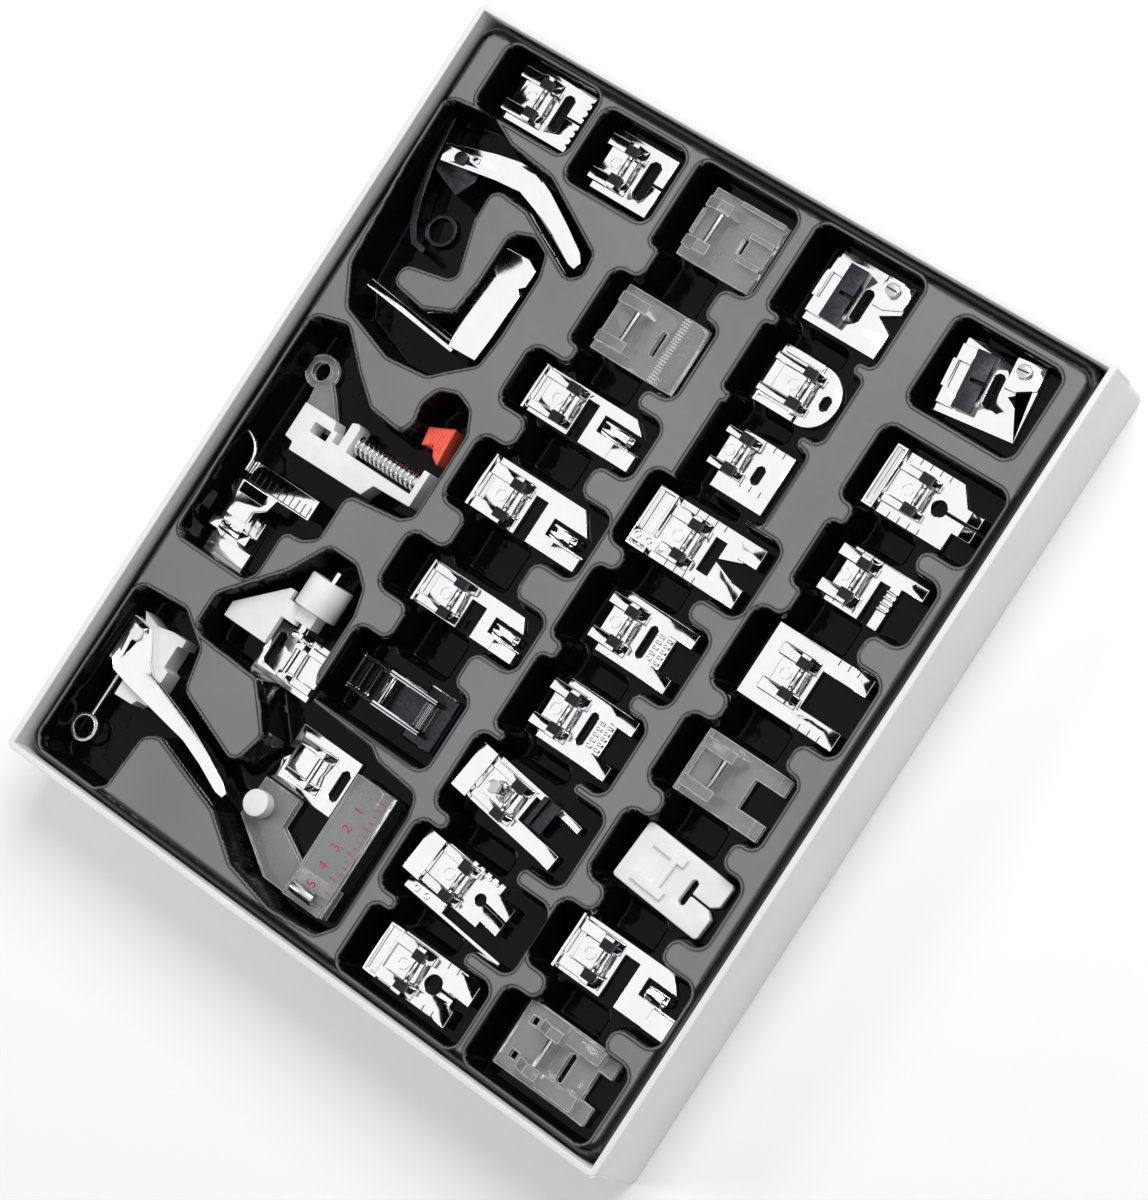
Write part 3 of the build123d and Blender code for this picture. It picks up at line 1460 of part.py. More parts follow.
with BuildPart() as darning_ring:
    ring_x = ring_x_share * darning_length
    ring_y = ring_y_share * darning_length
    upright(darning_seat, ring_x, ring_y, ring_outer, 0, ring_thickness, sides=eye_sides)
    shaped(darning_seat, ring_stem_shares, darning_length, 0, ring_thickness)
    ring_cut = (ring_inner, -overrun, ring_thickness + overrun, Mode.SUBTRACT)
    upright(darning_seat, ring_x, ring_y, *ring_cut, sides=eye_sides)
finish_foot("darning_ring", darning_ring.part)

# Darning spring: the space its coil takes up, as a tube round the rod
spring_radius = 2.5
spring_wire = 0.7
spring_end_gap = 0.4
spring_outer = spring_radius + spring_wire / 2
spring_inner = spring_radius - spring_wire / 2
spring_ends = (rod_start + spring_end_gap, rod_end - spring_end_gap)

with BuildPart() as darning_spring:
    long_rod(darning_seat, spring_y, spring_z, spring_outer, *spring_ends)
    long_rod(darning_seat, spring_y, spring_z, spring_inner, *spring_ends, Mode.SUBTRACT)
finish_foot("darning_spring", darning_spring.part)

# Red clip of the darning foot, lying beside its spring
clip_length = 12.0
clip_height = 9.0
clip_shares = [
    (-0.350, 0.217), (0.267, 0.500), (0.300, -0.083), (0.333, -0.417), (0.133, -0.300),
    (-0.033, -0.033), (-0.283, -0.200),
]
clip_seat = seat(low_place_shares["red_clip"], deep_floor)
with BuildPart() as red_clip:
    shaped(clip_seat, clip_shares, clip_length, 0, clip_height)
finish_foot("red_clip", red_clip.part)

# Ruler foot: a clip-on foot turned across the tray, with a toothed ruler plate and a bent guide rod
ruler_length = 28.0
ruler_low = 7.4
ruler_high = 8.8
ruler_shares = [
    (-0.139, 0.761), (0.739, 0.761), (0.739, 0.536), (0.325, 0.529), (0.289, 0.393),
    (0.150, 0.300), (0.150, 0.160), (-0.110, 0.160), (-0.110, 0.300), (-0.225, 0.400),
    (-0.225, 0.507), (-0.139, 0.536),
]
ruler_cut_shares = [(-0.120, 0.520), (0.200, 0.520), (0.200, 0.410), (-0.120, 0.410)]
ruler_base_half = 7.2
ruler_base_back = 7.4
ruler_base_front = 7.2
guide_rod_radius = 0.7
guide_rod_x_share = -0.160
guide_rod_y_share = 0.620
guide_rod_start = 2.4
guide_rod_turn = 7.4
guide_rod_sweep = 80

ruler_seat = seat(low_place_shares["ruler_foot"], deep_floor)
ruler_turned = ruler_seat.rotated((0, 0, -90))
with BuildPart() as ruler_foot:
    outline = (-ruler_base_half, ruler_base_half, -ruler_base_back, ruler_base_front)
    block(ruler_seat, *outline, 0, sole)
    rails(ruler_turned, wide_rail, ruler_base_back)
    back_block = (-ruler_base_front, -ear_back - rest_gap, -rail_gap / 2, rail_gap / 2)
    block(ruler_turned, *back_block, 0, ear_top)
finish_foot("ruler_foot", ruler_foot.part, snap_pin(ruler_turned))

with BuildPart() as ruler_plate:
    shaped(ruler_seat, ruler_shares, ruler_length, ruler_low, ruler_high)
    cut = (ruler_low - overrun, ruler_high + overrun, Mode.SUBTRACT)
    shaped(ruler_seat, ruler_cut_shares, ruler_length, *cut)
with BuildPart() as guide_rod:
    x = guide_rod_x_share * ruler_length
    y = guide_rod_y_share * ruler_length
    z = ruler_high + guide_rod_radius
    start = ruler_seat.from_local_coords(Vector(x, y, z))
    bend = ruler_seat.from_local_coords(Vector(x, y + guide_rod_start, z))
    with BuildLine() as rod_path:
        Line(start, bend)
        JernArc(bend, ruler_seat.y_dir, guide_rod_turn, guide_rod_sweep)
    with BuildSketch(Plane(origin=start, z_dir=ruler_seat.y_dir)) as rod_face:
        round_face(guide_rod_radius, Mode.ADD)
    sweep(rod_face.sketch, path=rod_path.wire())
finish_foot("ruler_plate", ruler_plate.part, guide_rod.part)

# Stitch guide foot: a metal foot turned about, with a white wing that a knurled knob moves on a spindle
stitch_length = 34.0
stitch_heel = 9.0
stitch_toe = 12.0
stitch_half = 8.0
stitch_slot_back = 7.0
stitch_slot_front = 10.0
stitch_slot_half = 5.0
wing_shares = [
    (-0.700, 0.000), (-0.700, 0.135), (-0.306, 0.500), (-0.260, 0.500), (-0.260, 0.415),
    (-0.090, 0.415), (-0.090, 0.260), (-0.240, 0.260), (-0.240, 0.000),
]
wing_low = 7.4
wing_high = 9.6
wing_nut_back = -3.0
wing_nut_front = 3.0
wing_nut_low = 4.6
knob_x = -0.8
knob_z = 7.6
knob_radius = 6.6
knob_low = 14.6
knob_high = 24.6
spindle_radius = 1.5
spindle_low = 8.0
spindle_high = 28.0
stitch_post = 1.8
wing_travel = 2.0

stitch_seat = seat(low_place_shares["stitch_guide_foot"], deep_floor)
stitch_back = stitch_seat.rotated((0, 0, 180))
with BuildPart() as stitch_foot:
    block(stitch_back, -stitch_heel, stitch_toe, -stitch_half, stitch_half, 0, sole)
    cross_slot(stitch_back, stitch_slot_back, stitch_slot_front, stitch_slot_half)
    rails(stitch_back, narrow_rail, stitch_heel)
    post = (knob_x - stitch_post, knob_x + stitch_post, spindle_low - stitch_post, spindle_low)
    block(stitch_seat, *post, 0, knob_z + stitch_post)
with BuildPart() as stitch_spindle:
    cross_rod(stitch_seat, knob_x, knob_z, spindle_radius, spindle_low, spindle_high)
finish_foot("stitch_guide_foot", stitch_foot.part, snap_pin(stitch_back), stitch_spindle.part)

spindle_bore = spindle_radius + pin_clearance
with BuildPart() as stitch_knob:
    cross_rod(stitch_seat, knob_x, knob_z, knob_radius, knob_low, knob_high)
    ends = (knob_low - overrun, knob_high + overrun)
    cross_rod(stitch_seat, knob_x, knob_z, spindle_bore, *ends, Mode.SUBTRACT)
finish_foot("stitch_knob", stitch_knob.part)

with BuildPart() as stitch_wing:
    shaped(stitch_seat, wing_shares, stitch_length, wing_low, wing_high)
    ends = (spindle_low + rest_gap + wing_travel, knob_low - rest_gap)
    nut = (knob_x + wing_nut_back, knob_x + wing_nut_front)
    block(stitch_seat, *nut, *ends, wing_nut_low, knob_z + wing_nut_front)
    cross_rod(stitch_seat, knob_x, knob_z, spindle_bore, *ends, Mode.SUBTRACT)
finish_foot("stitch_wing", stitch_wing.part)

# Edge gauge foot: a metal foot with a clear arm, a clear ruler, a knob and a thumb screw
gauge_heel = 12.6
gauge_toe = 9.6
gauge_half = 8.8
gauge_slot_back = 5.6
gauge_slot_front = 8.6
gauge_slot_half = 4.6
gauge_length = 34.0
gauge_arm_shares = [
    (-0.376, -0.281), (-0.012, -0.281), (-0.012, -0.535), (0.318, -0.700), (0.740, -0.700),
    (0.740, -0.959), (0.094, -0.959), (-0.394, -0.647),
]
gauge_arm_thickness = 3.0
gauge_knob_x = -9.0
gauge_knob_y = -16.6
gauge_knob_radius = 3.9
gauge_knob_top = 8.0
gauge_ruler_back = 12.0
gauge_ruler_front = 25.2
gauge_ruler_low = -32.6
gauge_ruler_high = 6.2
gauge_ruler_thickness = 2.4
gauge_screw_y = -29.0
gauge_screw_back = 14.6
gauge_screw_front = 22.6
gauge_screw_radius = 1.9

gauge_seat = seat(low_place_shares["edge_gauge_foot"], deep_floor)
with BuildPart() as gauge_foot:
    block(gauge_seat, -gauge_heel, gauge_toe, -gauge_half, gauge_half, 0, sole)
    cross_slot(gauge_seat, gauge_slot_back, gauge_slot_front, gauge_slot_half)
    rails(gauge_seat, narrow_rail)
    tongue(gauge_seat, rail_back)
finish_foot("edge_gauge_foot", gauge_foot.part, snap_pin(gauge_seat))

with BuildPart() as gauge_arm:
    shaped(gauge_seat, gauge_arm_shares, gauge_length, 0, gauge_arm_thickness)
finish_foot("gauge_arm", gauge_arm.part)

with BuildPart() as gauge_knob:
    base = gauge_arm_thickness + rest_gap
    upright(gauge_seat, gauge_knob_x, gauge_knob_y, gauge_knob_radius, base, gauge_knob_top)
finish_foot("gauge_knob", gauge_knob.part)

with BuildPart() as gauge_ruler:
    ruler_top = base + gauge_ruler_thickness
    sides = (gauge_ruler_back, gauge_ruler_front, gauge_ruler_low, gauge_ruler_high)
    block(gauge_seat, *sides, base, ruler_top)
finish_foot("gauge_ruler", gauge_ruler.part)

with BuildPart() as gauge_screw:
    z = ruler_top + rest_gap + gauge_screw_radius
    ends = (gauge_screw_back, gauge_screw_front)
    long_rod(gauge_seat, gauge_screw_y, z, gauge_screw_radius, *ends)
finish_foot("gauge_screw", gauge_screw.part)

# Ring darning foot: a white body under a long bright lever, with a ring on a thin sliding rod
ring_lever_length = 58.0
ring_body_length = 25.0
ring_lever_shift = 1.4
ring_lever_shares = [
    (-0.072, 0.067), (0.043, 0.060), (0.091, 0.000), (0.140, -0.078), (0.198, -0.122),
    (0.284, -0.140), (0.526, -0.209), (0.698, -0.278), (0.845, -0.347), (0.888, -0.381),
    (0.878, -0.409), (0.828, -0.405), (0.681, -0.343), (0.534, -0.295), (0.319, -0.264),
    (0.112, -0.233), (-0.009, -0.209), (-0.068, -0.147),
]
ring_body_shares = [
    (-0.060, 0.268), (0.180, 0.196), (0.380, 0.244), (0.596, 0.252), (0.604, 0.156),
    (0.540, 0.140), (0.540, -0.140), (0.612, -0.164), (0.620, -0.620), (0.480, -0.628),
    (0.440, -0.700), (0.180, -0.716), (0.160, 0.020), (0.020, 0.156),
]
ring_body_high = 8.0
ring_lever_thickness = 1.6
ring_holder = (-3.6, 5.0, -10.0, 4.0)
ring_rod_x = 0.0
ring_rod_far = -3.0
ring_rod_near = -27.4
ring_rod_z = 4.0
ring_rod_radius = 0.7
ring_eye_y = -31.0
ring_eye_outer = 4.4
ring_eye_inner = 3.3
ring_eye_thickness = 1.4

ring_seat = seat(low_place_shares["ring_darning_foot"], deep_floor)
ring_top = ring_body_high + rest_gap + ring_lever_thickness
with BuildPart() as ring_body:
    shaped(ring_seat, ring_body_shares, ring_body_length, 0, ring_body_high)
    block(ring_seat, *ring_holder, 0, ring_body_high)
    bore = ring_rod_radius + pin_clearance
    ends = (ring_holder[2] - overrun, ring_rod_far + rest_gap)
    cross_rod(ring_seat, ring_rod_x, ring_rod_z, bore, *ends, Mode.SUBTRACT)
    pivot(ring_seat, ring_lever_shift, 0, ring_body_high, ring_top + rest_gap)
finish_foot("ring_darning_foot", ring_body.part)

with BuildPart() as ring_lever:
    low = ring_body_high + rest_gap
    shaped(moved(ring_seat, ring_lever_shift), ring_lever_shares, ring_lever_length, low, ring_top)
    bore = pivot_radius + pin_clearance
    upright(ring_seat, ring_lever_shift, 0, bore, 0, ring_top + overrun, Mode.SUBTRACT)
finish_foot("ring_lever", ring_lever.part)

with BuildPart() as ring_rod:
    cross_rod(ring_seat, ring_rod_x, ring_rod_z, ring_rod_radius, ring_rod_near, ring_rod_far)
    eye_low = ring_rod_z - ring_eye_thickness / 2
    eye_high = ring_rod_z + ring_eye_thickness / 2
    upright(ring_seat, ring_rod_x, ring_eye_y, ring_eye_outer, eye_low, eye_high, sides=eye_sides)
    hole = (ring_eye_inner, 0, 2 * ring_rod_z, Mode.SUBTRACT)
    upright(ring_seat, ring_rod_x, ring_eye_y, *hole, sides=eye_sides)
finish_foot("ring_rod", ring_rod.part)

# The steel pins of the four clear feet
finish_foot("clear_guide_pin", clear_guide_pin.part)
finish_foot("clear_knurled_pin", clear_knurled_pin.part)
finish_foot("clear_open_pin", clear_open_pin.part)
finish_foot("clear_window_pin", clear_window_pin.part)
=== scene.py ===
"""A shallow card box of sewing machine presser feet, dressed for a studio photograph."""

import json
import math

import bmesh
import bpy
import numpy as np
from mathutils import Matrix, Vector


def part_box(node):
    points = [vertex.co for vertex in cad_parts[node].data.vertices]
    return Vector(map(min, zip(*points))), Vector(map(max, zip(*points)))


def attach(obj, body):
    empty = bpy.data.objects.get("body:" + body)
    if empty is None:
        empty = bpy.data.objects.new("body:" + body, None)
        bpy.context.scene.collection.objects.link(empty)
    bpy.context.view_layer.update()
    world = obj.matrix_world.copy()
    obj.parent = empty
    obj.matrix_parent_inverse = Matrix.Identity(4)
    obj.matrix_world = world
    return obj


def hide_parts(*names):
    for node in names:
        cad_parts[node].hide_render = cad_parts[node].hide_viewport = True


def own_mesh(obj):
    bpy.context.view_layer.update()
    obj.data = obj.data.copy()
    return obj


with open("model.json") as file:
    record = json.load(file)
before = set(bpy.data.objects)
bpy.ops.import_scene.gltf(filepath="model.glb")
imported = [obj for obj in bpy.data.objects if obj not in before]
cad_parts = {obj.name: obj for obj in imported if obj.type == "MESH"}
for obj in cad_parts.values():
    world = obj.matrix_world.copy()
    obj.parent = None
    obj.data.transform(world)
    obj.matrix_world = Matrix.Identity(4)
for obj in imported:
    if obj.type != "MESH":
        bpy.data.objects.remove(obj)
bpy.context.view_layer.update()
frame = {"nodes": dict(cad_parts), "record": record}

MM = 0.001

# Studio table, light and camera
# A white sweep lit from above by large soft panels, seen from the side of the
# box where the toes of the feet point.

scene = bpy.context.scene
scene.view_settings.view_transform = "Standard"


def srgb(text):
    """Linear colour of a hex value."""
    parts = [int(text[i:i + 2], 16) / 255 for i in (1, 3, 5)]
    return tuple(p / 12.92 if p <= 0.04045 else ((p + 0.055) / 1.055) ** 2.4 for p in parts) + (1.0,)


def add_node(tree, kind, settings=None, inputs=None):
    """A shader node with its settings, and its inputs as values or as links from other sockets."""
    node = tree.nodes.new(kind)
    for key, value in (settings or {}).items():
        setattr(node, key, value)
    for key, value in (inputs or {}).items():
        if isinstance(value, bpy.types.NodeSocket):
            tree.links.new(value, node.inputs[key])
        else:
            node.inputs[key].default_value = value
    return node


def finish_of(name, base, rough, metal=0.0, **sockets):
    """A new material with its principled shader: the material, its tree and the shader."""
    material = bpy.data.materials.new(name)
    material.use_nodes = True
    tree = material.node_tree
    tree.nodes.clear()
    shader = add_node(tree, "ShaderNodeBsdfPrincipled", None, {
        "Base Color": srgb(base), "Roughness": rough, "Metallic": metal, **sockets})
    add_node(tree, "ShaderNodeOutputMaterial", None, {"Surface": shader.outputs[0]})
    return material, tree, shader


# The world lights the object at half strength, and shows as plain white behind it and in its shine
world = bpy.data.worlds.new("white studio")
scene.world = world
world.use_nodes = True
world.node_tree.nodes.clear()
rays = add_node(world.node_tree, "ShaderNodeLightPath")
direct = add_node(world.node_tree, "ShaderNodeMath", {"operation": "MAXIMUM"}, {
    0: rays.outputs["Is Camera Ray"], 1: rays.outputs["Is Transmission Ray"]})
seen = add_node(world.node_tree, "ShaderNodeMath", {"operation": "MAXIMUM"}, {
    0: direct.outputs[0], 1: rays.outputs["Is Glossy Ray"]})
fill = add_node(world.node_tree, "ShaderNodeBackground", None, {
    "Color": srgb("#FFFFFF"), "Strength": 0.5})
backdrop = add_node(world.node_tree, "ShaderNodeBackground", None, {
    "Color": srgb("#FFFFFF"), "Strength": 1.0})
mixed = add_node(world.node_tree, "ShaderNodeMixShader", None, {
    0: seen.outputs[0], 1: fill.outputs[0], 2: backdrop.outputs[0]})
add_node(world.node_tree, "ShaderNodeOutputWorld", None, {"Surface": mixed.outputs[0]})

floor_mesh = bpy.data.meshes.new("studio_floor")
reach = 3.0
floor_gap = 0.2 * MM
floor_mesh.from_pydata([(-reach, -reach, 0), (reach, -reach, 0), (reach, reach, 0), (-reach, reach, 0)],
                       [], [(0, 1, 2, 3)])
floor = bpy.data.objects.new("studio_floor", floor_mesh)
floor.location.z = -floor_gap
scene.collection.objects.link(floor)
# Seamless paper: matt white that runs out into the background and keeps a soft shadow
sweep_paper = finish_of("white seamless paper", "#FAFAFA", 0.9)[0]
floor_mesh.materials.append(sweep_paper)


def soft_panel(name, place, target, size, power):
    """A large square lamp that faces a target."""
    lamp = bpy.data.lights.new(name, "AREA")
    lamp.size = size
    lamp.energy = power
    holder = bpy.data.objects.new(name, lamp)
    holder.location = place
    holder.rotation_euler = (Vector(target) - Vector(place)).to_track_quat("-Z", "Y").to_euler()
    scene.collection.objects.link(holder)


# Four flags of black duvetyn round the table: they show only as dark lines in bright metal
flag_cloth = finish_of("black duvetyn flag", "#060606", 1.0, **{"Specular IOR Level": 0.0})[0]
flag_far, flag_half, flag_high = 0.34, 0.2, 0.4
for number, (x, y) in enumerate(((1, 0), (-1, 0), (0, 1), (0, -1))):
    flag_mesh = bpy.data.meshes.new(f"studio_flag_{number}")
    corners = [(x * flag_far - y * s * flag_half, y * flag_far + x * s * flag_half, z)
               for s, z in ((-1, 0), (1, 0), (1, flag_high), (-1, flag_high))]
    flag_mesh.from_pydata(corners, [], [(0, 1, 2, 3)])
    flag_mesh.materials.append(flag_cloth)
    flag = bpy.data.objects.new(f"studio_flag_{number}", flag_mesh)
    scene.collection.objects.link(flag)
    flag.visible_camera = False
    flag.visible_diffuse = False
    flag.visible_shadow = False
    flag.visible_transmission = False

# Each panel's place, what it faces, its size and its power
soft_panel("overhead_panel", (0.1, 0.72, 0.9), (0, 0, 0), 0.7, 9.0)
soft_panel("side_panel", (-0.6, -0.5, 0.6), (0, 0, 0), 0.25, 1.6)

# The view, worked out from where the corners of the box lie in the photograph
view_azimuth = math.radians(2.298)
view_elevation = math.radians(65.542)
view_roll = math.radians(-59.273)
view_place = Vector((407.11, 13.41, 891.60)) * MM
view_focal_px = 3525.8
picture_height_px = 1200
sensor_mm = 36
back = Vector((math.cos(view_azimuth) * math.cos(view_elevation),
               math.sin(view_azimuth) * math.cos(view_elevation), math.sin(view_elevation)))
side = Vector((-math.sin(view_azimuth), math.cos(view_azimuth), 0))
top = back.cross(side)
right = side * math.cos(view_roll) + top * math.sin(view_roll)
up = top * math.cos(view_roll) - side * math.sin(view_roll)
camera_data = bpy.data.cameras.new("camera")
camera = bpy.data.objects.new("camera", camera_data)
camera.matrix_world = Matrix.Translation(view_place) @ Matrix((right, up, back)).transposed().to_4x4()
camera_data.sensor_width = sensor_mm
camera_data.lens = view_focal_px * sensor_mm / picture_height_px
scene.collection.objects.link(camera)
scene.camera = camera

# Card box
# Grey board wrapped in smooth white paper, cut, scored and folded up into four
# walls. The wrapper's fibre gives it a fine tooth, and its folds catch the light.

# Coated paper: a soft white, a little cloudy, with a tooth drawn coarser than the real fibre
card_paper, tree, shader = finish_of("coated white greyboard", "#E6E6E8", 0.55)
place = add_node(tree, "ShaderNodeTexCoord")
fibre = add_node(tree, "ShaderNodeTexNoise", None, {
    "Vector": place.outputs["Object"], "Scale": 1 / (1.1 * MM), "Detail": 4.0, "Roughness": 0.65})
tooth = add_node(tree, "ShaderNodeBump", None, {
    "Height": fibre.outputs[0], "Distance": 0.05 * MM, "Strength": 0.6})
tree.links.new(tooth.outputs[0], shader.inputs["Normal"])
clouds = add_node(tree, "ShaderNodeTexNoise", None, {
    "Vector": place.outputs["Object"], "Scale": 1 / (24 * MM), "Detail": 3.0})
paper_tone = add_node(tree, "ShaderNodeMix", {"data_type": "RGBA"}, {
    "Factor": clouds.outputs[0], "A": srgb("#DEDEE0"), "B": srgb("#ECECED")})
tree.links.new(paper_tone.outputs["Result"], shader.inputs["Base Color"])

node_of = frame["nodes"]
body_of = {node: body for body, nodes in frame["record"]["behaviour"]["bodies"].items() for node in nodes}


weld_within = 0.001 * MM
flat_within = math.radians(1)
ease_above = math.radians(30)


def eased(node, radius_mm, material, segments=2):
    """A copy of a carried-over piece with its sharp edges worn round by this radius, in its place."""
    mesh = node_of[node].data.copy()
    bm = bmesh.new()
    bm.from_mesh(mesh)
    bmesh.ops.remove_doubles(bm, verts=bm.verts, dist=weld_within)
    bmesh.ops.dissolve_limit(bm, angle_limit=flat_within, verts=bm.verts, edges=bm.edges)
    for face in bm.faces:
        face.smooth = True
    bm.to_mesh(mesh)
    bm.free()
    mesh.materials.clear()
    mesh.materials.append(material)
    piece = bpy.data.objects.new(node + "_piece", mesh)
    scene.collection.objects.link(piece)
    ease = piece.modifiers.new("eased edges", "BEVEL")
    ease.width = radius_mm * MM
    ease.segments = segments
    ease.limit_method = "ANGLE"
    ease.angle_limit = ease_above
    ease.harden_normals = True
    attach(piece, body_of[node])
    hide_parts(node)


def added(name, bm, material, host):
    """A new piece from its mesh, riding with the node that carries it."""
    mesh = bpy.data.meshes.new(name)
    bmesh.ops.recalc_face_normals(bm, faces=bm.faces)
    bm.to_mesh(mesh)
    bm.free()
    mesh.materials.append(material)
    piece = bpy.data.objects.new(name, mesh)
    scene.collection.objects.link(piece)
    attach(piece, body_of[host])
    return piece


fold_round = 0.45
eased("box_base", fold_round, card_paper, 3)

# The lips that the wrapper forms where the near wall's ends are tucked round
box_low, box_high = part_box("box_base")
lip_out, lip_wide = 1.5, 1.1
lip_long, lip_below_rim = 15, 0.3
lip_points = 9
for side_name, y_wall, outward in (("left", box_low.y, -1), ("right", box_high.y, 1)):
    bm = bmesh.new()
    outline = []
    for k in range(lip_points):
        angle = math.pi * (k / (lip_points - 1) - 0.5)
        outline.append((box_high.x + lip_out * (math.cos(angle) - 1) * MM,
                        y_wall + outward * lip_wide * (math.sin(angle) - 1) * MM))
    for depth in (lip_long, lip_below_rim):
        for x, y in outline:
            bm.verts.new((x, y, box_high.z - depth * MM))
    bm.verts.ensure_lookup_table()
    count = len(outline)
    for k in range(count):
        n = (k + 1) % count
        bm.faces.new((bm.verts[k], bm.verts[n], bm.verts[count + n], bm.verts[count + k])).smooth = True
    bm.faces.new(bm.verts[:count][::-1])
    bm.faces.new(bm.verts[count:])
    added("wrapper_lip_" + side_name, bm, card_paper, "box_base")

# Moulded tray
# Black polystyrene sheet, softened and drawn down over a mould by vacuum. The
# flat land is painted grey as a sheen, with painted highlight lines round the rims, and the drawn pockets
# are glossy black.

# Levels of the sheet, then its roundings and drafts
plateau_z, shallow_z, deep_z = 27.0, 20.5, 12.0
skirt_z = 2.5
rim_drop = 0.3
tray_draft = 1.1
rim_round = 0.55
floor_round = 0.8
shoulder = 3.2
pocket_radius = 3.6
well_radius = 2.4
same_level, facing_up = 0.02, 0.5
same_line = 0.02


def outlines_at(mesh, level):
    """The closed outlines, in millimetres, round the upward faces at this level."""
    points = np.array([v.co for v in mesh.vertices]) / MM
    keys = [tuple(np.round(p, 3)) for p in points]
    edges = {}
    mesh.calc_loop_triangles()
    for tri in mesh.loop_triangles:
        corners = [keys[i] for i in tri.vertices]
        if all(abs(c[2] - level) < same_level for c in corners) and tri.normal.z > facing_up:
            for a, b in zip(corners, corners[1:] + corners[:1]):
                edges[(a, b)] = True
    open_edges = {}
    for a, b in edges:
        if (b, a) not in edges:
            open_edges.setdefault(a, []).append(b)
    loops = []
    while open_edges:
        start = next(iter(open_edges))
        loop, here = [start], start
        while True:
            following = open_edges[here].pop()
            if not open_edges[here]:
                del open_edges[here]
            if following == start or following not in open_edges:
                break
            loop.append(following)
            here = following
        loops.append(np.array([p[:2] for p in loop]))
    return loops


def straightened(loop):
    """The same outline without points in the middle of straight runs."""
    before = loop - np.roll(loop, 1, axis=0)
    after = np.roll(loop, -1, axis=0) - loop
    turn = np.abs(before[:, 0] * after[:, 1] - before[:, 1] * after[:, 0])
    size = np.linalg.norm(before, axis=1) * np.linalg.norm(after, axis=1)
    return loop[turn > same_line * size]


nearly_straight = 1.45
side_share = 0.46


def rounded(loop, radius, steps=5):
    """The same outline with every corner rounded, less where its sides are short."""
    result = []
    count = len(loop)
    for i in range(count):
        before, here, after = loop[i - 1], loop[i], loop[(i + 1) % count]
        a, b = before - here, after - here
        la, lb = np.linalg.norm(a), np.linalg.norm(b)
        a, b = a / la, b / lb
        half = math.acos(max(-1, min(1, float(a @ b)))) / 2
        if half > nearly_straight:
            result.append(here)
            continue
        reach_along = min(radius / math.tan(half), side_share * la, side_share * lb)
        arc_radius = reach_along * math.tan(half)
        centre = here + (a + b) / np.linalg.norm(a + b) * arc_radius / math.sin(half)
        p, q = here + a * reach_along, here + b * reach_along
        for k in range(steps + 1):
            t = k / steps
            along = (p - centre) * (1 - t) + (q - centre) * t
            result.append(centre + along / np.linalg.norm(along) * arc_radius)
    return np.array(result)


measured_round = 4
very_far = 1e6
nothing = 1e-12


def distance_to(points, loops):
    """Signed distance to the outlines, below zero inside, and the nearest point on them."""
    best = np.full(len(points), very_far)
    nearest = np.zeros((len(points), 2))
    inside = np.zeros(len(points), bool)
    for loop in loops:
        around = (points > loop.min(axis=0) - measured_round) & (points < loop.max(axis=0) + measured_round)
        here = np.nonzero(around.all(axis=1))[0]
        x, y = points[here, 0], points[here, 1]
        for (ax, ay), (bx, by) in zip(loop, np.roll(loop, -1, axis=0)):
            dx, dy = bx - ax, by - ay
            length = dx * dx + dy * dy
            if length < nothing:
                continue
            t = np.clip(((x - ax) * dx + (y - ay) * dy) / length, 0, 1)
            qx, qy = ax + t * dx, ay + t * dy
            gap = (x - qx) ** 2 + (y - qy) ** 2
            closer = gap < best[here]
            best[here[closer]] = gap[closer]
            nearest[here[closer]] = np.stack([qx[closer], qy[closer]], axis=1)
            if ay != by:
                inside[here] ^= ((ay > y) != (by > y)) & (x < (bx - ax) * (y - ay) / (by - ay) + ax)
    gap = np.sqrt(best)
    return np.where(inside, -gap, gap), nearest


tray_mesh = node_of["insert_tray"].data
tray_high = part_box("insert_tray")[1]
half_x, half_y = tray_high.x / MM, tray_high.y / MM
edge_x = half_x - 0.5
plateau_loops = [straightened(loop) for loop in outlines_at(tray_mesh, plateau_z)]
edge_loops = [loop for loop in plateau_loops if np.abs(loop[:, 0]).max() > edge_x]
pocket_loops = [rounded(loop, pocket_radius) for loop in plateau_loops
                if np.abs(loop[:, 0]).max() <= edge_x]
deep_loops = [rounded(straightened(loop), well_radius) for loop in outlines_at(tray_mesh, deep_z)]

# The sheet is a grid that is twice as fine along every rim
tray_step = 0.8
border_share = 0.6
gather_share = 0.24
fine_within = 2.0
columns = int(2 * half_x / tray_step) + 3
rows = int(2 * half_y / tray_step) + 3
grid_x, grid_y = np.meshgrid((np.arange(columns) - (columns - 1) / 2) * tray_step,
                             (np.arange(rows) - (rows - 1) / 2) * tray_step)
sheet = np.stack([grid_x.ravel(), grid_y.ravel()], axis=1)
outer_gap = distance_to(sheet, edge_loops)[0]
rough_gap = np.minimum(*(np.abs(distance_to(sheet, loops)[0]) for loops in (pocket_loops, deep_loops)))

index = np.arange(len(sheet)).reshape(rows, columns)
quads = np.stack([index[:-1, :-1], index[:-1, 1:], index[1:, 1:], index[1:, :-1]], axis=-1).reshape(-1, 4)
quads = quads[(outer_gap[quads] < border_share * tray_step).all(axis=1)]
bm = bmesh.new()
sheet_verts = [bm.verts.new((x * MM, y * MM, 0)) for x, y in sheet]
for quad in quads:
    bm.faces.new([sheet_verts[i] for i in quad])
bm.verts.index_update()
fine = {e for face in bm.faces if rough_gap[[v.index for v in face.verts]].min() < fine_within
        for e in face.edges}
bmesh.ops.delete(bm, geom=[v for v in bm.verts if not v.link_faces], context="VERTS")
bmesh.ops.subdivide_edges(bm, edges=list(fine), cuts=1, use_grid_fill=True)
bm.verts.ensure_lookup_table()
flat = np.array([v.co[:2] for v in bm.verts]) / MM
outer_gap, outer_nearest = distance_to(flat, edge_loops)
border = np.array([v.is_boundary for v in bm.verts])
flat[border] = outer_nearest[border]

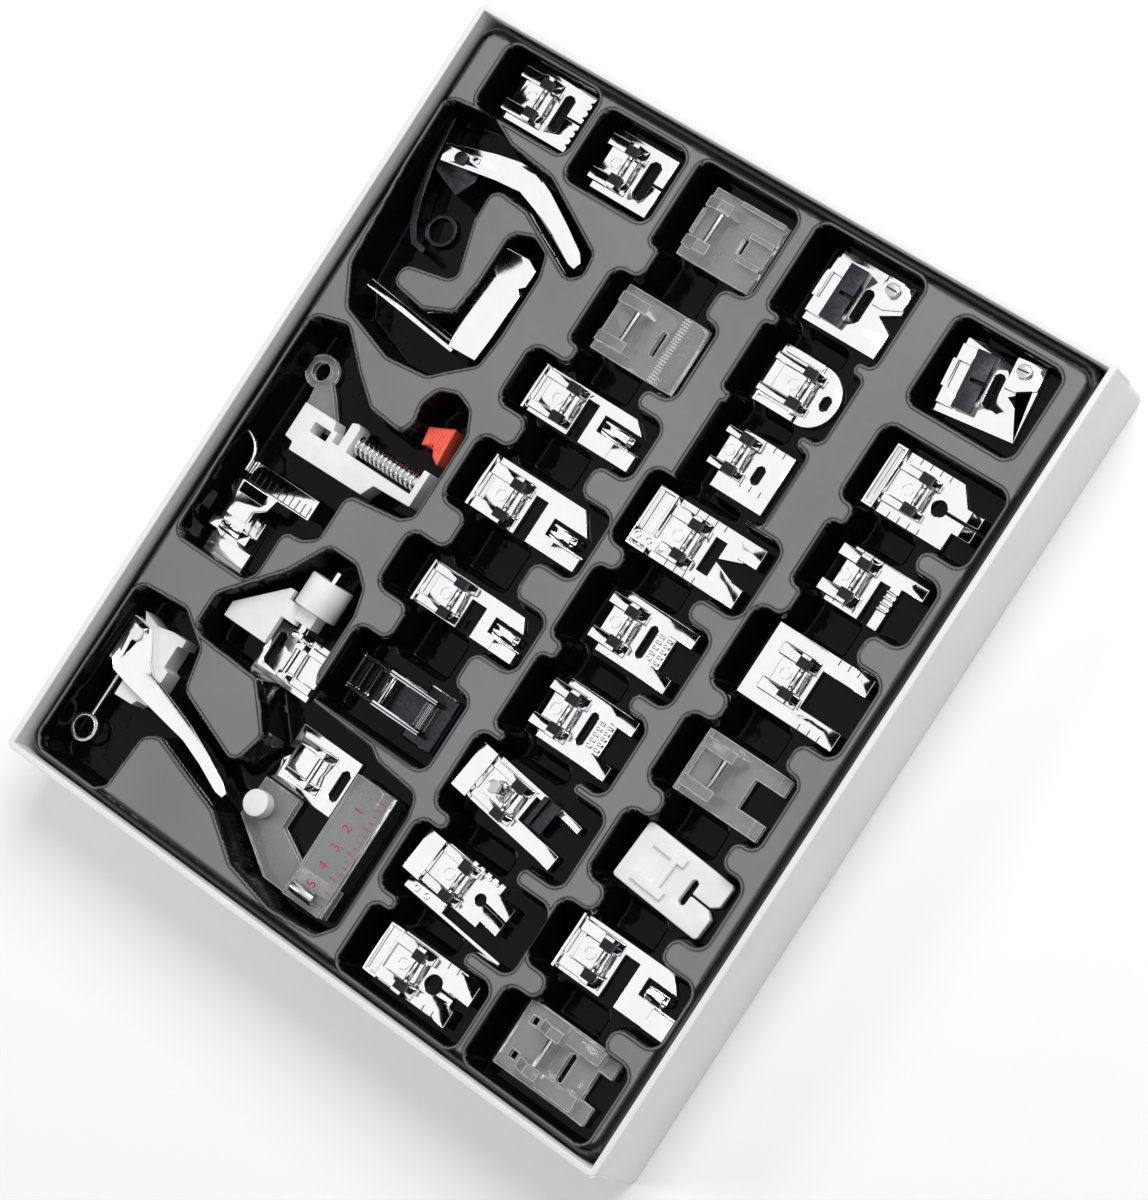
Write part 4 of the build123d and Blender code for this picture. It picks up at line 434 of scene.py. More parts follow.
# Points close to a rim, its rounding or its foot are drawn onto that line
for loops in (pocket_loops, deep_loops):
    gap, nearest = distance_to(flat, loops)
    for line in (0.0, rim_round, -tray_draft):
        close = (np.abs(gap - line) < gather_share * tray_step) & ~border
        if line:
            away = flat[close] - nearest[close]
            size = np.linalg.norm(away, axis=1)[:, None]
            flat[close] = nearest[close] + away / size * abs(line)
        else:
            flat[close] = nearest[close]
pocket_gap, deep_gap, outer_gap = (
    distance_to(flat, loops)[0] for loops in (pocket_loops, deep_loops, edge_loops))


def drawn(gap, depth):
    """How far the sheet is drawn down at this distance from an outline, with a round rim and foot."""
    wall = rim_drop + (depth - 2 * rim_drop) * np.clip(-gap / tray_draft, 0, 1)
    rim = rim_drop * (1 - np.clip(gap / rim_round, 0, 1)) ** 2
    foot = rim_drop * (1 - (1 - np.clip((-gap - tray_draft) / floor_round, 0, 1)) ** 2)
    return np.where(gap > 0, rim, wall + foot)


outside = np.clip(shoulder + outer_gap, 0, shoulder)
edge_fall = shoulder - np.sqrt(shoulder ** 2 - outside ** 2)
pocket_fall = drawn(pocket_gap, plateau_z - shallow_z)
inside_pocket = 0.2
deep_fall = np.where(pocket_gap < inside_pocket, drawn(deep_gap, shallow_z - deep_z), 0)
levels = plateau_z - np.maximum(edge_fall, pocket_fall) - deep_fall

# Painted light on the sheet's face: a painted grey sheen on the land, and painted highlight lines where the
# rim turns over and inside the outer edge
land_sheen_paint, rim_highlight_paint, edge_highlight_paint = 0.7, 0.62, 0.4
sheen_from_rim, sheen_rim_fade = 1.0, 0.35
sheen_from_edge, sheen_edge_fade = 3.4, 0.4
rim_highlight_wide = 0.22
edge_highlight_at, edge_highlight_wide = 1.3, 0.35
painted_sheen = land_sheen_paint * (np.clip((pocket_gap - sheen_from_rim) / sheen_rim_fade, 0, 1)
                     * np.clip((-outer_gap - sheen_from_edge) / sheen_edge_fade, 0, 1))
painted_highlight = (rim_highlight_paint * np.exp(-((pocket_gap - rim_round) / rim_highlight_wide) ** 2)
         + edge_highlight_paint * np.exp(-((outer_gap + edge_highlight_at) / edge_highlight_wide) ** 2))
painted_light_of = np.clip(np.maximum(painted_sheen, painted_highlight), 0, 1)
for v, (x, y), z in zip(bm.verts, flat, levels):
    v.co = (x * MM, y * MM, z * MM)
# The painted sheen and highlight lines are kept on the sheet's points for its shader
painted_light_layer = bm.verts.layers.float.new("painted_sheet_light")
for v, painted_light_value in zip(bm.verts, painted_light_of):
    v[painted_light_layer] = painted_light_value
rim_edges = [e for e in bm.edges if e.is_boundary]
for v in bmesh.ops.extrude_edge_only(bm, edges=rim_edges)["geom"]:
    if isinstance(v, bmesh.types.BMVert):
        v.co.z = skirt_z * MM
bmesh.ops.triangulate(bm, faces=[f for f in bm.faces if len(f.verts) > 3], quad_method="SHORT_EDGE")
for face in bm.faces:
    face.smooth = True

# Polystyrene sheet: glossy black, with the painted light making a grey sheen on the land and highlight
# lines at the rims. The forming leaves a ripple, and the sheet has a grain, drawn coarser than it is so
# that it shows.
tray_plastic, tree, shader = finish_of("black formed polystyrene", "#0B0B0C", 0.3)
painted_light_value = add_node(tree, "ShaderNodeAttribute", {"attribute_name": "painted_sheet_light"})
place = add_node(tree, "ShaderNodeTexCoord")
cloud = add_node(tree, "ShaderNodeTexNoise", None, {
    "Vector": place.outputs["Object"], "Scale": 1 / (38 * MM), "Detail": 2.0})
shifted = add_node(tree, "ShaderNodeMapRange", None, {
    "Value": cloud.outputs[0], "From Min": 0.3, "From Max": 0.7, "To Min": 0.93, "To Max": 1.07})
varied_painted_light = add_node(tree, "ShaderNodeMath", {"operation": "MULTIPLY"}, {
    0: painted_light_value.outputs["Fac"], 1: shifted.outputs[0]})
# Painted light: black where the sheet was drawn, a painted grey sheen and light lines where the painted
# value is high
painted_sheen_colour = add_node(tree, "ShaderNodeMix", {"data_type": "RGBA"}, {
    "Factor": varied_painted_light.outputs[0], "A": srgb("#090909"), "B": srgb("#8E8E90")})
tree.links.new(painted_sheen_colour.outputs["Result"], shader.inputs["Base Color"])
gloss = add_node(tree, "ShaderNodeMapRange", None, {
    "Value": painted_light_value.outputs["Fac"], "From Max": 0.6, "To Min": 0.09, "To Max": 0.46})
tree.links.new(gloss.outputs[0], shader.inputs["Roughness"])
shine = add_node(tree, "ShaderNodeMapRange", None, {
    "Value": painted_light_value.outputs["Fac"], "From Max": 0.6, "To Min": 0.12, "To Max": 0.3})
tree.links.new(shine.outputs[0], shader.inputs["Specular IOR Level"])
ripple = add_node(tree, "ShaderNodeTexNoise", None, {
    "Vector": place.outputs["Object"], "Scale": 1 / (4.5 * MM), "Detail": 1.5})
grain = add_node(tree, "ShaderNodeTexNoise", None, {
    "Vector": place.outputs["Object"], "Scale": 1 / (0.8 * MM), "Detail": 2.0})
sheet_bump = add_node(tree, "ShaderNodeBump", None, {
    "Height": ripple.outputs[0], "Distance": 0.25 * MM, "Strength": 0.8})
fine_bump = add_node(tree, "ShaderNodeBump", None, {
    "Height": grain.outputs[0], "Distance": 0.012 * MM, "Strength": 0.6,
    "Normal": sheet_bump.outputs[0]})
tree.links.new(fine_bump.outputs[0], shader.inputs["Normal"])
formed_tray = added("formed_tray", bm, tray_plastic, "insert_tray")
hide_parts("insert_tray")

# Clip-on metal feet
# Cast and milled steel, nickel and chrome plated to a mirror, each with a pin
# pressed between two ears. The plate rounds every edge a little.

# Nickel plate: a near white mirror, with a breath of haze from handling and a slight orange peel
plated_steel, tree, shader = finish_of("bright nickel plate", "#F6F6F7", 0.1, 1.0)
place = add_node(tree, "ShaderNodeTexCoord")
handling = add_node(tree, "ShaderNodeTexNoise", None, {
    "Vector": place.outputs["Object"], "Scale": 1 / (5 * MM), "Detail": 3.0})
plate_tone = add_node(tree, "ShaderNodeMix", {"data_type": "RGBA"}, {
    "Factor": handling.outputs[0], "A": srgb("#FCFCFC"), "B": srgb("#F0F0F2")})
tree.links.new(plate_tone.outputs["Result"], shader.inputs["Base Color"])
plate_haze = add_node(tree, "ShaderNodeMapRange", None, {
    "Value": handling.outputs[0], "From Min": 0.3, "From Max": 0.75, "To Min": 0.05, "To Max": 0.13})
tree.links.new(plate_haze.outputs[0], shader.inputs["Roughness"])
orange_peel = add_node(tree, "ShaderNodeTexNoise", None, {
    "Vector": place.outputs["Object"], "Scale": 1 / (1.6 * MM), "Detail": 1.0})
plate_bump = add_node(tree, "ShaderNodeBump", None, {
    "Height": orange_peel.outputs[0], "Distance": 0.02 * MM, "Strength": 0.5})
tree.links.new(plate_bump.outputs[0], shader.inputs["Normal"])

# Blackened steel: a dark satin that is mottled by scale, for the blackened parts and the comb, and as
# painted shade on the serrations, driver slots, seam marks and inner corners
blackened_steel_and_painted_shade, tree, shader = finish_of("blackened steel and painted shade", "#2B2B2E", 0.34, 1.0)
place = add_node(tree, "ShaderNodeTexCoord")
scale_marks = add_node(tree, "ShaderNodeTexNoise", None, {
    "Vector": place.outputs["Object"], "Scale": 1 / (0.9 * MM), "Detail": 3.0})
dark_tone = add_node(tree, "ShaderNodeMix", {"data_type": "RGBA"}, {
    "Factor": scale_marks.outputs[0], "A": srgb("#1C1C1E"), "B": srgb("#4B4B50")})
tree.links.new(dark_tone.outputs["Result"], shader.inputs["Base Color"])

# Turned stainless steel: a greyer shine, left uneven by the lathe in marks drawn coarser than they are
turned_steel, tree, shader = finish_of("turned stainless steel", "#C6C7CA", 0.22, 1.0)
place = add_node(tree, "ShaderNodeTexCoord")
lathe = add_node(tree, "ShaderNodeTexNoise", None, {
    "Vector": place.outputs["Object"], "Scale": 1 / (0.45 * MM), "Detail": 2.0})
lathe_haze = add_node(tree, "ShaderNodeMapRange", None, {
    "Value": lathe.outputs[0], "To Min": 0.12, "To Max": 0.36})
tree.links.new(lathe_haze.outputs[0], shader.inputs["Roughness"])

tray_wide, tray_long = 213.4, 245.4
rest_gap = 0.3


def block(bm, seat, low, high, ease=0.0):
    """A block between two corners in millimetres, with its edges eased."""
    size = Vector(high) - Vector(low)
    middle = (Vector(high) + Vector(low)) / 2
    made = bmesh.ops.create_cube(bm, size=1)["verts"]
    bmesh.ops.scale(bm, vec=size * MM, verts=made)
    bmesh.ops.translate(bm, vec=middle * MM, verts=made)
    bmesh.ops.transform(bm, matrix=seat, verts=made)
    if ease:
        edges = list({e for v in made for e in v.link_edges})
        bmesh.ops.bevel(bm, geom=edges, offset=ease * MM, segments=2, affect="EDGES", profile=0.5)


def turned(bm, seat, centre, axis, outline, sides=32):
    """A turned shape in millimetres: (radius, height) points spun round an axis through a centre."""
    spin = Vector(axis).to_track_quat("Z", "Y").to_matrix().to_4x4()
    place = seat @ Matrix.Translation(Vector(centre) * MM) @ spin
    rings = []
    for radius, height in outline:
        ring = []
        for k in range(sides):
            angle = 2 * math.pi * k / sides
            ring.append(bm.verts.new(place @ (Vector((
                radius * math.cos(angle), radius * math.sin(angle), height)) * MM)))
        rings.append(ring)
    for lower, upper in zip(rings[:-1], rings[1:]):
        for k in range(sides):
            bm.faces.new((lower[k - 1], lower[k], upper[k], upper[k - 1])).smooth = True
    bm.faces.new(rings[0][::-1])
    bm.faces.new(rings[-1])


def foot_seat(x_share, y_share, level, degrees=0):
    """The frame of a foot from its place in the tray: x from heel to toe, y across, z up."""
    place = Vector((x_share * tray_wide, y_share * tray_long, level + rest_gap)) * MM
    return Matrix.Translation(place) @ Matrix.Rotation(math.radians(degrees), 4, "Z")


shortest_line = 0.7
least_turn = 0.5
steepest = 0.7


def edge_lines(node, name, material, radius, hollow):
    """Fine lines along a piece's inner corners, or along its outer edges, as thin four-sided rods."""
    source = bmesh.new()
    source.from_mesh(node_of[node].data)
    bmesh.ops.remove_doubles(source, verts=source.verts, dist=weld_within)
    bm = bmesh.new()
    for edge in source.edges:
        if len(edge.link_faces) != 2 or edge.calc_length() < shortest_line * MM:
            continue
        turn = edge.calc_face_angle_signed(0)
        if (turn < -least_turn) != hollow or abs(turn) < least_turn:
            continue
        start, end = (v.co for v in edge.verts)
        along = (end - start).normalized()
        if abs(along.z) > steepest:
            continue
        across = Vector((0, 0, 1)) - along * along.z
        across.normalize()
        beside = along.cross(across)
        ends = []
        for place in (start, end):
            ends.append([bm.verts.new(place + (across * a + beside * b) * radius * MM)
                         for a, b in ((1, 0), (0, 1), (-1, 0), (0, -1))])
        for k in range(4):
            bm.faces.new((ends[0][k - 1], ends[0][k], ends[1][k], ends[1][k - 1]))
        bm.faces.new(ends[0][::-1])
        bm.faces.new(ends[1])
    source.free()
    added(name, bm, material, node)


# Each foot's place as shares of the tray, the width of its rails, whether it has a tongue, and its turn
clip_feet = {
    "pintuck_foot": (-0.366, 0.446, 3.4, 1, 0), "applique_foot": (-0.207, 0.429, 3.4, 1, 0),
    "narrow_hemmer_foot": (-0.093, 0.169, 2.3, 1, 0), "medium_hemmer_foot": (-0.086, 0.044, 2.3, 1, 0),
    "wide_hemmer_foot": (-0.077, -0.082, 2.3, 1, 0), "rounded_foot": (0.173, 0.318, 2.3, 1, 0),
    "straight_foot": (0.148, 0.221, 2.3, 1, 0), "quilting_foot": (0.153, 0.112, 3.4, 1, 0),
    "fringe_foot": (0.145, -0.005, 3.4, 1, 0), "looping_foot": (0.141, -0.120, 3.4, 1, 0),
    "blind_hem_foot": (0.141, -0.232, 2.3, 0, -7), "edge_joining_foot": (0.141, -0.338, 2.3, 1, -5),
    "braid_foot": (0.155, -0.446, 3.4, 1, 0), "quarter_inch_foot": (0.379, 0.285, 2.3, 1, 0),
    "overcast_foot": (0.370, 0.173, 3.4, 1, 0), "open_toe_foot": (0.375, 0.049, 3.4, 1, 0),
    "felling_foot": (0.359, -0.318, 2.3, 1, 0),
}
rail_gap = 7.4
half_gap = rail_gap / 2
pin_radius, pin_tip, pin_neck, pin_height = 0.94, 0.6, 0.78, 5.4
half_pin = [(pin_tip, 0.0), (pin_radius, 0.05), (pin_radius, 0.7), (pin_neck, 0.8), (pin_neck, 1.1),
            (pin_radius, 1.2)]
other_half = [(radius, rail_gap - along) for radius, along in half_pin[::-1]]
ear_back, ear_front, ear_top = 2.0, 1.6, 7.0
grip_past, grip_deep, grip_wide = 0.5, 2.2, 2.3
grip_proud, grip_behind, grip_ease = 0.1, 0.05, 0.15
teeth, tooth_start, tooth_step = 5, 0.25, 0.66
tooth_wide, tooth_tall, tooth_inset, tooth_ease = 0.34, 0.3, 0.15, 0.08
tongue_top, mark_x = 2.4, -4.6
press_ring = [(1.75, -0.2), (1.75, 0.04), (1.68, 0.1), (1.52, 0.1), (1.45, 0.04), (1.45, -0.2)]
plate_round, corner_shade = 0.22, 0.15
for foot, (x_share, y_share, rail, has_tongue, degrees) in clip_feet.items():
    eased(foot, plate_round, plated_steel)
    # Dark rods along the inner corners are painted shade
    edge_lines(foot, foot + "_corner_shade", blackened_steel_and_painted_shade, corner_shade, True)
    seat = foot_seat(x_share, y_share, shallow_z, degrees)
    # The pin, with a shallow neck at each end
    bm = bmesh.new()
    turned(bm, seat, (0, -half_gap, pin_height), (0, 1, 0), half_pin + other_half, sides=20)
    added(foot + "_bright_pin", bm, turned_steel, foot)
    # The ears are serrated on top where the tool held them, and the serrated blocks are dark as painted
    # shade at the ends of the pin
    bm = bmesh.new()
    for sign in (-1, 1):
        y0, y1 = sorted((sign * (half_gap - grip_past),
                         sign * (half_gap + min(rail, grip_wide) + grip_proud)))
        block(bm, seat, (-ear_back - grip_behind, y0, ear_top - grip_deep),
              (ear_front, y1, ear_top + grip_proud), grip_ease)
        for tooth in range(teeth):
            x = -ear_back + tooth_start + tooth_step * tooth
            block(bm, seat, (x, y0 + tooth_inset, ear_top),
                  (x + tooth_wide, y1 - tooth_inset, ear_top + tooth_tall), tooth_ease)
    added(foot + "_serrations_painted_shade", bm, blackened_steel_and_painted_shade, foot)
    # A light press mark on the tongue
    if has_tongue:
        bm = bmesh.new()
        turned(bm, seat, (mark_x, 0, tongue_top), (0, 0, 1), press_ring)
        added(foot + "_press_mark", bm, plated_steel, foot)

# Other metal pieces
# Feet with a screw, blade, lever, shank or ruler of their own. The plates are
# pressed and plated or blackened, and the rods and screws are turned.

dark_round, turned_round = 0.14, 0.1
cornered = ("elastic_foot", "piping_foot", "screw_on_foot", "edge_gauge_foot", "stitch_guide_foot",
            "ruler_foot")
for node in cornered:
    eased(node, plate_round, plated_steel)
    # Dark rods along the inner corners are painted shade
    edge_lines(node, node + "_corner_shade", blackened_steel_and_painted_shade, corner_shade, True)
for node in ("quilting_blade", "edge_guide_plate", "lever_arm", "ruler_plate", "ring_lever"):
    eased(node, plate_round, plated_steel)
for node in ("roller_foot", "elastic_pressure_block", "piping_pressure_block", "blind_hem_guide",
             "lever_darning_foot"):
    eased(node, dark_round, blackened_steel_and_painted_shade)
for node in ("blind_hem_screw", "ring_rod", "gauge_screw"):
    eased(node, turned_round, turned_steel)

# Set screws
# The elastic foot and the piping foot each have a steel screw that sets how hard
# they press, turned with a round head and sawn across with a driver slot.

screw_round, slot_ease = 0.12, 0.05
screw_x, screw_y = 11.0, 7.6
round_head = [(0.5, 2.65), (2.03, 2.7), (2.03, 3.6), (1.85, 3.9), (1.4, 4.02), (0.2, 4.02)]
slot_long, slot_wide, slot_low, slot_high = 1.75, 0.24, 3.7, 4.06
for screw, place, degrees in (("elastic_screw", (0.146, 0.430), 0), ("piping_screw", (0.356, 0.420), 7)):
    eased(screw, screw_round, turned_steel)
    bm = bmesh.new()
    seat = foot_seat(*place, shallow_z, degrees)
    turned(bm, seat, (screw_x, screw_y, 0), (0, 0, 1), round_head, sides=40)
    added(screw + "_round_head", bm, turned_steel, screw)
    # The slot is a dark block through the head: painted shade where the slot is cut
    bm = bmesh.new()
    block(bm, seat, (screw_x - slot_long, screw_y - slot_wide, slot_low),
          (screw_x + slot_long, screw_y + slot_wide, slot_high), slot_ease)
    added(screw + "_driver_slot_shade", bm, blackened_steel_and_painted_shade, screw)

# Roller foot
# A blackened steel foot whose walls carry a pin and a roller. The edges of the
# walls are worn bright, and the roller is knurled so that it grips the cloth.

roller_seat = foot_seat(-0.087, -0.209, shallow_z)
roller_x, roller_z, roller_radius, roller_end = 12.6, 2.4, 1.9, 4.1
wall_inside, roller_pin_z = 4.4, 4.4
knurls, knurl_half, knurl_inset, knurl_crest, knurl_ease = 24, 0.1, 0.25, 0.08, 0.03
bright_edge = 0.28
edge_lines("roller_foot", "roller_foot_bright_edges", plated_steel, bright_edge, False)
eased("foot_roller", turned_round, blackened_steel_and_painted_shade)
bm = bmesh.new()
for k in range(knurls):
    angle = 2 * math.pi * k / knurls
    place = roller_seat @ Matrix.Translation(Vector((roller_x, 0, roller_z)) * MM) @ Matrix.Rotation(
        angle, 4, "Y") @ Matrix.Translation(Vector((0, 0, roller_radius)) * MM)
    block(bm, place, (-knurl_half, knurl_inset - roller_end, -knurl_half),
          (knurl_half, roller_end - knurl_inset, knurl_crest), knurl_ease)
added("foot_roller_knurl", bm, turned_steel, "foot_roller")
bm = bmesh.new()
turned(bm, roller_seat, (0, -wall_inside, roller_pin_z), (0, 1, 0), [
    (pin_tip, 0.0), (pin_radius, 0.05), (pin_radius, 2 * wall_inside - 0.05), (pin_tip, 2 * wall_inside)],
    sides=20)
added("roller_foot_bright_pin", bm, turned_steel, "roller_foot")

# Clear and white mouldings
# Clear feet are injection moulded in acrylic round a steel pin; white ones are
# acetal. Moulding leaves soft edges and a slight swirl in the clear plastic.

# Clear acrylic: glassy and slightly grey, with a swirl that bends what is seen through it
acrylic_ior = 1.49
acrylic, tree, shader = finish_of("clear moulded acrylic", "#F1F3F4", 0.05, **{
    "Transmission Weight": 0.84, "IOR": acrylic_ior})
place = add_node(tree, "ShaderNodeTexCoord")
swirl = add_node(tree, "ShaderNodeTexNoise", None, {
    "Vector": place.outputs["Object"], "Scale": 1 / (7 * MM), "Detail": 0.0})
swirl_bump = add_node(tree, "ShaderNodeBump", None, {
    "Height": swirl.outputs[0], "Distance": 0.3 * MM, "Strength": 0.4})
tree.links.new(swirl_bump.outputs[0], shader.inputs["Normal"])

# Painted highlight: where clear plastic ends, a pale uneven line stands for the light that the edge gathers
lit_acrylic, tree, shader = finish_of("painted highlight at an acrylic edge", "#D6D8DA", 0.25, IOR=acrylic_ior)
place = add_node(tree, "ShaderNodeTexCoord")
uneven = add_node(tree, "ShaderNodeTexNoise", None, {
    "Vector": place.outputs["Object"], "Scale": 1 / (2.2 * MM), "Detail": 2.0})
edge_tone = add_node(tree, "ShaderNodeMix", {"data_type": "RGBA"}, {
    "Factor": uneven.outputs[0], "A": srgb("#5E6062"), "B": srgb("#F2F3F4")})
tree.links.new(edge_tone.outputs["Result"], shader.inputs["Base Color"])

# Acetal: a soft waxy white with faint flow marks
acetal, tree, shader = finish_of("white moulded acetal", "#E9E9EA", 0.3)
place = add_node(tree, "ShaderNodeTexCoord")
flow = add_node(tree, "ShaderNodeTexNoise", None, {
    "Vector": place.outputs["Object"], "Scale": 1 / (4 * MM), "Detail": 2.0})
flow_tone = add_node(tree, "ShaderNodeMix", {"data_type": "RGBA"}, {
    "Factor": flow.outputs[0], "A": srgb("#E0E0E2"), "B": srgb("#F0F0F0")})
tree.links.new(flow_tone.outputs["Result"], shader.inputs["Base Color"])

clear_round, lit_line, white_round = 0.25, 0.13, 0.35
for node in ("clear_guide_foot", "clear_knurled_foot", "clear_open_foot", "clear_window_foot",
             "gauge_arm", "gauge_ruler", "darning_ring"):
    eased(node, clear_round, acrylic, 3)
    # Pale rods along the outer edges are painted highlights
    edge_lines(node, node + "_lit_edges", lit_acrylic, lit_line, False)
for node in ("clear_guide_pin", "clear_knurled_pin", "clear_open_pin", "clear_window_pin"):
    eased(node, turned_round, turned_steel)
for node in ("glide_foot", "spring_darning_foot", "stitch_wing", "stitch_knob", "gauge_knob",
             "ring_darning_foot"):
    eased(node, white_round, acetal, 3)

# Red clip
# The clip that ends the darning foot's rod, moulded in red nylon in one piece.
# Five low ribs across its top give the fingers a hold.

# Nylon: a warm red, slightly mottled where the dye took unevenly
red_nylon, tree, shader = finish_of("red moulded nylon", "#EE5A42", 0.32)
place = add_node(tree, "ShaderNodeTexCoord")
dye = add_node(tree, "ShaderNodeTexNoise", None, {
    "Vector": place.outputs["Object"], "Scale": 1 / (2.5 * MM), "Detail": 2.0})
red_tone = add_node(tree, "ShaderNodeMix", {"data_type": "RGBA"}, {
    "Factor": dye.outputs[0], "A": srgb("#E24A35"), "B": srgb("#F7715A")})
tree.links.new(red_tone.outputs["Result"], shader.inputs["Base Color"])

clip_round, clip_line = 0.3, 0.2
eased("red_clip", clip_round, red_nylon, 3)
edge_lines("red_clip", "red_clip_moulded_edges", red_nylon, clip_line, False)
clip_low, clip_high = (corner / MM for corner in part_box("red_clip"))
clip_ribs, rib_start, rib_step, rib_wide = 5, 2.3, 0.95, 0.4
rib_near, rib_far, rib_sunk, rib_proud, rib_ease = 3.2, 8.2, 0.3, 0.15, 0.08
bm = bmesh.new()
for k in range(clip_ribs):
    x = clip_low.x + rib_start + rib_step * k
    block(bm, Matrix.Identity(4), (x, clip_low.y + rib_near, clip_high.z - rib_sunk),
          (x + rib_wide, clip_low.y + rib_far, clip_high.z + rib_proud), rib_ease)
added("red_clip_ribs", bm, red_nylon, "red_clip")

# Steel bands
# One clear foot has a ribbed band across its toe, where a finger slides it on,
# and the knob of the stitch guide one round its rim. Both are rolled in steel.

knurled_seat = foot_seat(-0.077, 0.279, shallow_z)
band_back, band_front, band_low, band_high = 11.8, 14.2, 3.35, 3.62
band_ribs, band_start, band_step, band_rib = 22, -9.9, 0.92, 0.45
bm = bmesh.new()
for k in range(band_ribs):
    y = band_start + band_step * k
    block(bm, knurled_seat, (band_back, y, band_low), (band_front, y + band_rib, band_high), rib_ease)
added("clear_knurled_foot_ribs", bm, turned_steel, "clear_knurled_foot")

# The knob turns on an axis along y
stitch_low, stitch_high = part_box("stitch_knob")
knob_axis = Vector(((stitch_low.x + stitch_high.x) / 2, 0, (stitch_low.z + stitch_high.z) / 2))
knob_radius = (stitch_high.x - stitch_low.x) / 2
knob_end = stitch_low.y / MM
knob_ribs, knob_rib, knob_rib_foot, knob_rib_crest, knob_ease = 28, 0.26, -0.35, -0.02, 0.1
knob_band_start, knob_band_end = 1.0, 6.0
bm = bmesh.new()
for k in range(knob_ribs):
    angle = 2 * math.pi * k / knob_ribs
    place = Matrix.Translation(knob_axis) @ Matrix.Rotation(angle, 4, "Y") @ Matrix.Translation(
        (0, 0, knob_radius))
    block(bm, place, (-knob_rib, knob_end + knob_band_start, knob_rib_foot),
          (knob_rib, knob_end + knob_band_end, knob_rib_crest), knob_ease)
added("stitch_knob_ribs", bm, turned_steel, "stitch_knob")

# Darning spring
# Music wire wound in an open coil round the rod of the white darning foot, and
# held between its body and its clip. It shortens as the ring slides.

spring_low, spring_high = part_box("darning_spring")
wire = 0.42
coil = (spring_high.y - spring_low.y) / 2 / MM - wire
spring_length = (spring_high.x - spring_low.x) / MM - 2 * wire
middle_y, middle_z = (spring_low.y + spring_high.y) / 2, (spring_low.z + spring_high.z) / 2
turns, steps, section = 13, 26, 8
pitch_swing = 0.012
bm = bmesh.new()
rings = []
for k in range(turns * steps + 1):
    t = k / (turns * steps)
    angle = 2 * math.pi * turns * t
    pitch = t + pitch_swing * math.sin(2 * math.pi * t)
    centre = Vector((spring_low.x + (wire + spring_length * pitch) * MM,
                     middle_y + coil * MM * math.cos(angle), middle_z + coil * MM * math.sin(angle)))
    outward = Vector((0, math.cos(angle), math.sin(angle)))
    ring = []
    for j in range(section):
        around = 2 * math.pi * j / section
        offset = outward * math.cos(around) + Vector((1, 0, 0)) * math.sin(around)
        ring.append(bm.verts.new(centre + offset * wire * MM))
    rings.append(ring)
for lower, upper in zip(rings[:-1], rings[1:]):
    for j in range(section):
        bm.faces.new((lower[j - 1], lower[j], upper[j], upper[j - 1])).smooth = True
bm.faces.new(rings[0][::-1])
bm.faces.new(rings[-1])
wound_spring = added("darning_spring_coil", bm, plated_steel, "darning_spring")
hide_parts("darning_spring")
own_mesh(wound_spring)

# Rule marks
# Small marks that are stamped into the metal or printed on the clear ruler:
# the comb of the ruler plate, the seam marks of the feet, and crimson figures.

# The comb along the ruler plate, stamped and blackened
ruler_seat = foot_seat(-0.429, -0.163, deep_z)
plate_top = 8.8
comb_marks, comb_start, comb_step, comb_end = 11, -2.6, 2.2, 19.7
comb_near, comb_far, line_near, line_far = 15.4, 18.8, 15.3, 15.6
comb_sunk, comb_proud, line_proud, mark_wide, mark_ease = 0.2, 0.05, 0.04, 0.35, 0.03
bm = bmesh.new()
for k in range(comb_marks):
    x = comb_start + comb_step * k
    block(bm, ruler_seat, (x, comb_near, plate_top - comb_sunk),
          (x + mark_wide, comb_far, plate_top + comb_proud), mark_ease)
block(bm, ruler_seat, (comb_start, line_near, plate_top - comb_sunk),
      (comb_end, line_far, plate_top + line_proud), mark_ease)
added("ruler_plate_comb", bm, blackened_steel_and_painted_shade, "ruler_plate")

# Seam marks: half the width of the sole, the first mark's place, and how many there are on each side
sole_top = 1.6
seam_step, seam_from, seam_to, seam_wide = 3.2, 0.15, 1.9, 0.3
seam_sunk, seam_proud = 0.15, 0.04
seam_marks = {
    "quilting_foot": (9.1, -4.0, 4), "quarter_inch_foot": (9.2, -6.0, 4), "braid_foot": (7.7, 6.5, 2),
    "overcast_foot": (8.0, -4.0, 3), "straight_foot": (7.2, 3.0, 3), "open_toe_foot": (11.0, 6.0, 3),
    "rounded_foot": (8.9, -9.0, 2),
}
# The stamped notches are dark blocks, painted shade where the notches are
for foot, (half, first, marks) in seam_marks.items():
    x_share, y_share = clip_feet[foot][:2]
    seat = foot_seat(x_share, y_share, shallow_z)
    bm = bmesh.new()
    for k in range(marks):
        x = first + seam_step * k
        for sign in (-1, 1):
            y0, y1 = sorted((sign * (half - seam_from), sign * (half - seam_to)))
            block(bm, seat, (x, y0, sole_top - seam_sunk),
                  (x + seam_wide, y1, sole_top + seam_proud), mark_ease)
    added(foot + "_seam_marks", bm, blackened_steel_and_painted_shade, foot)

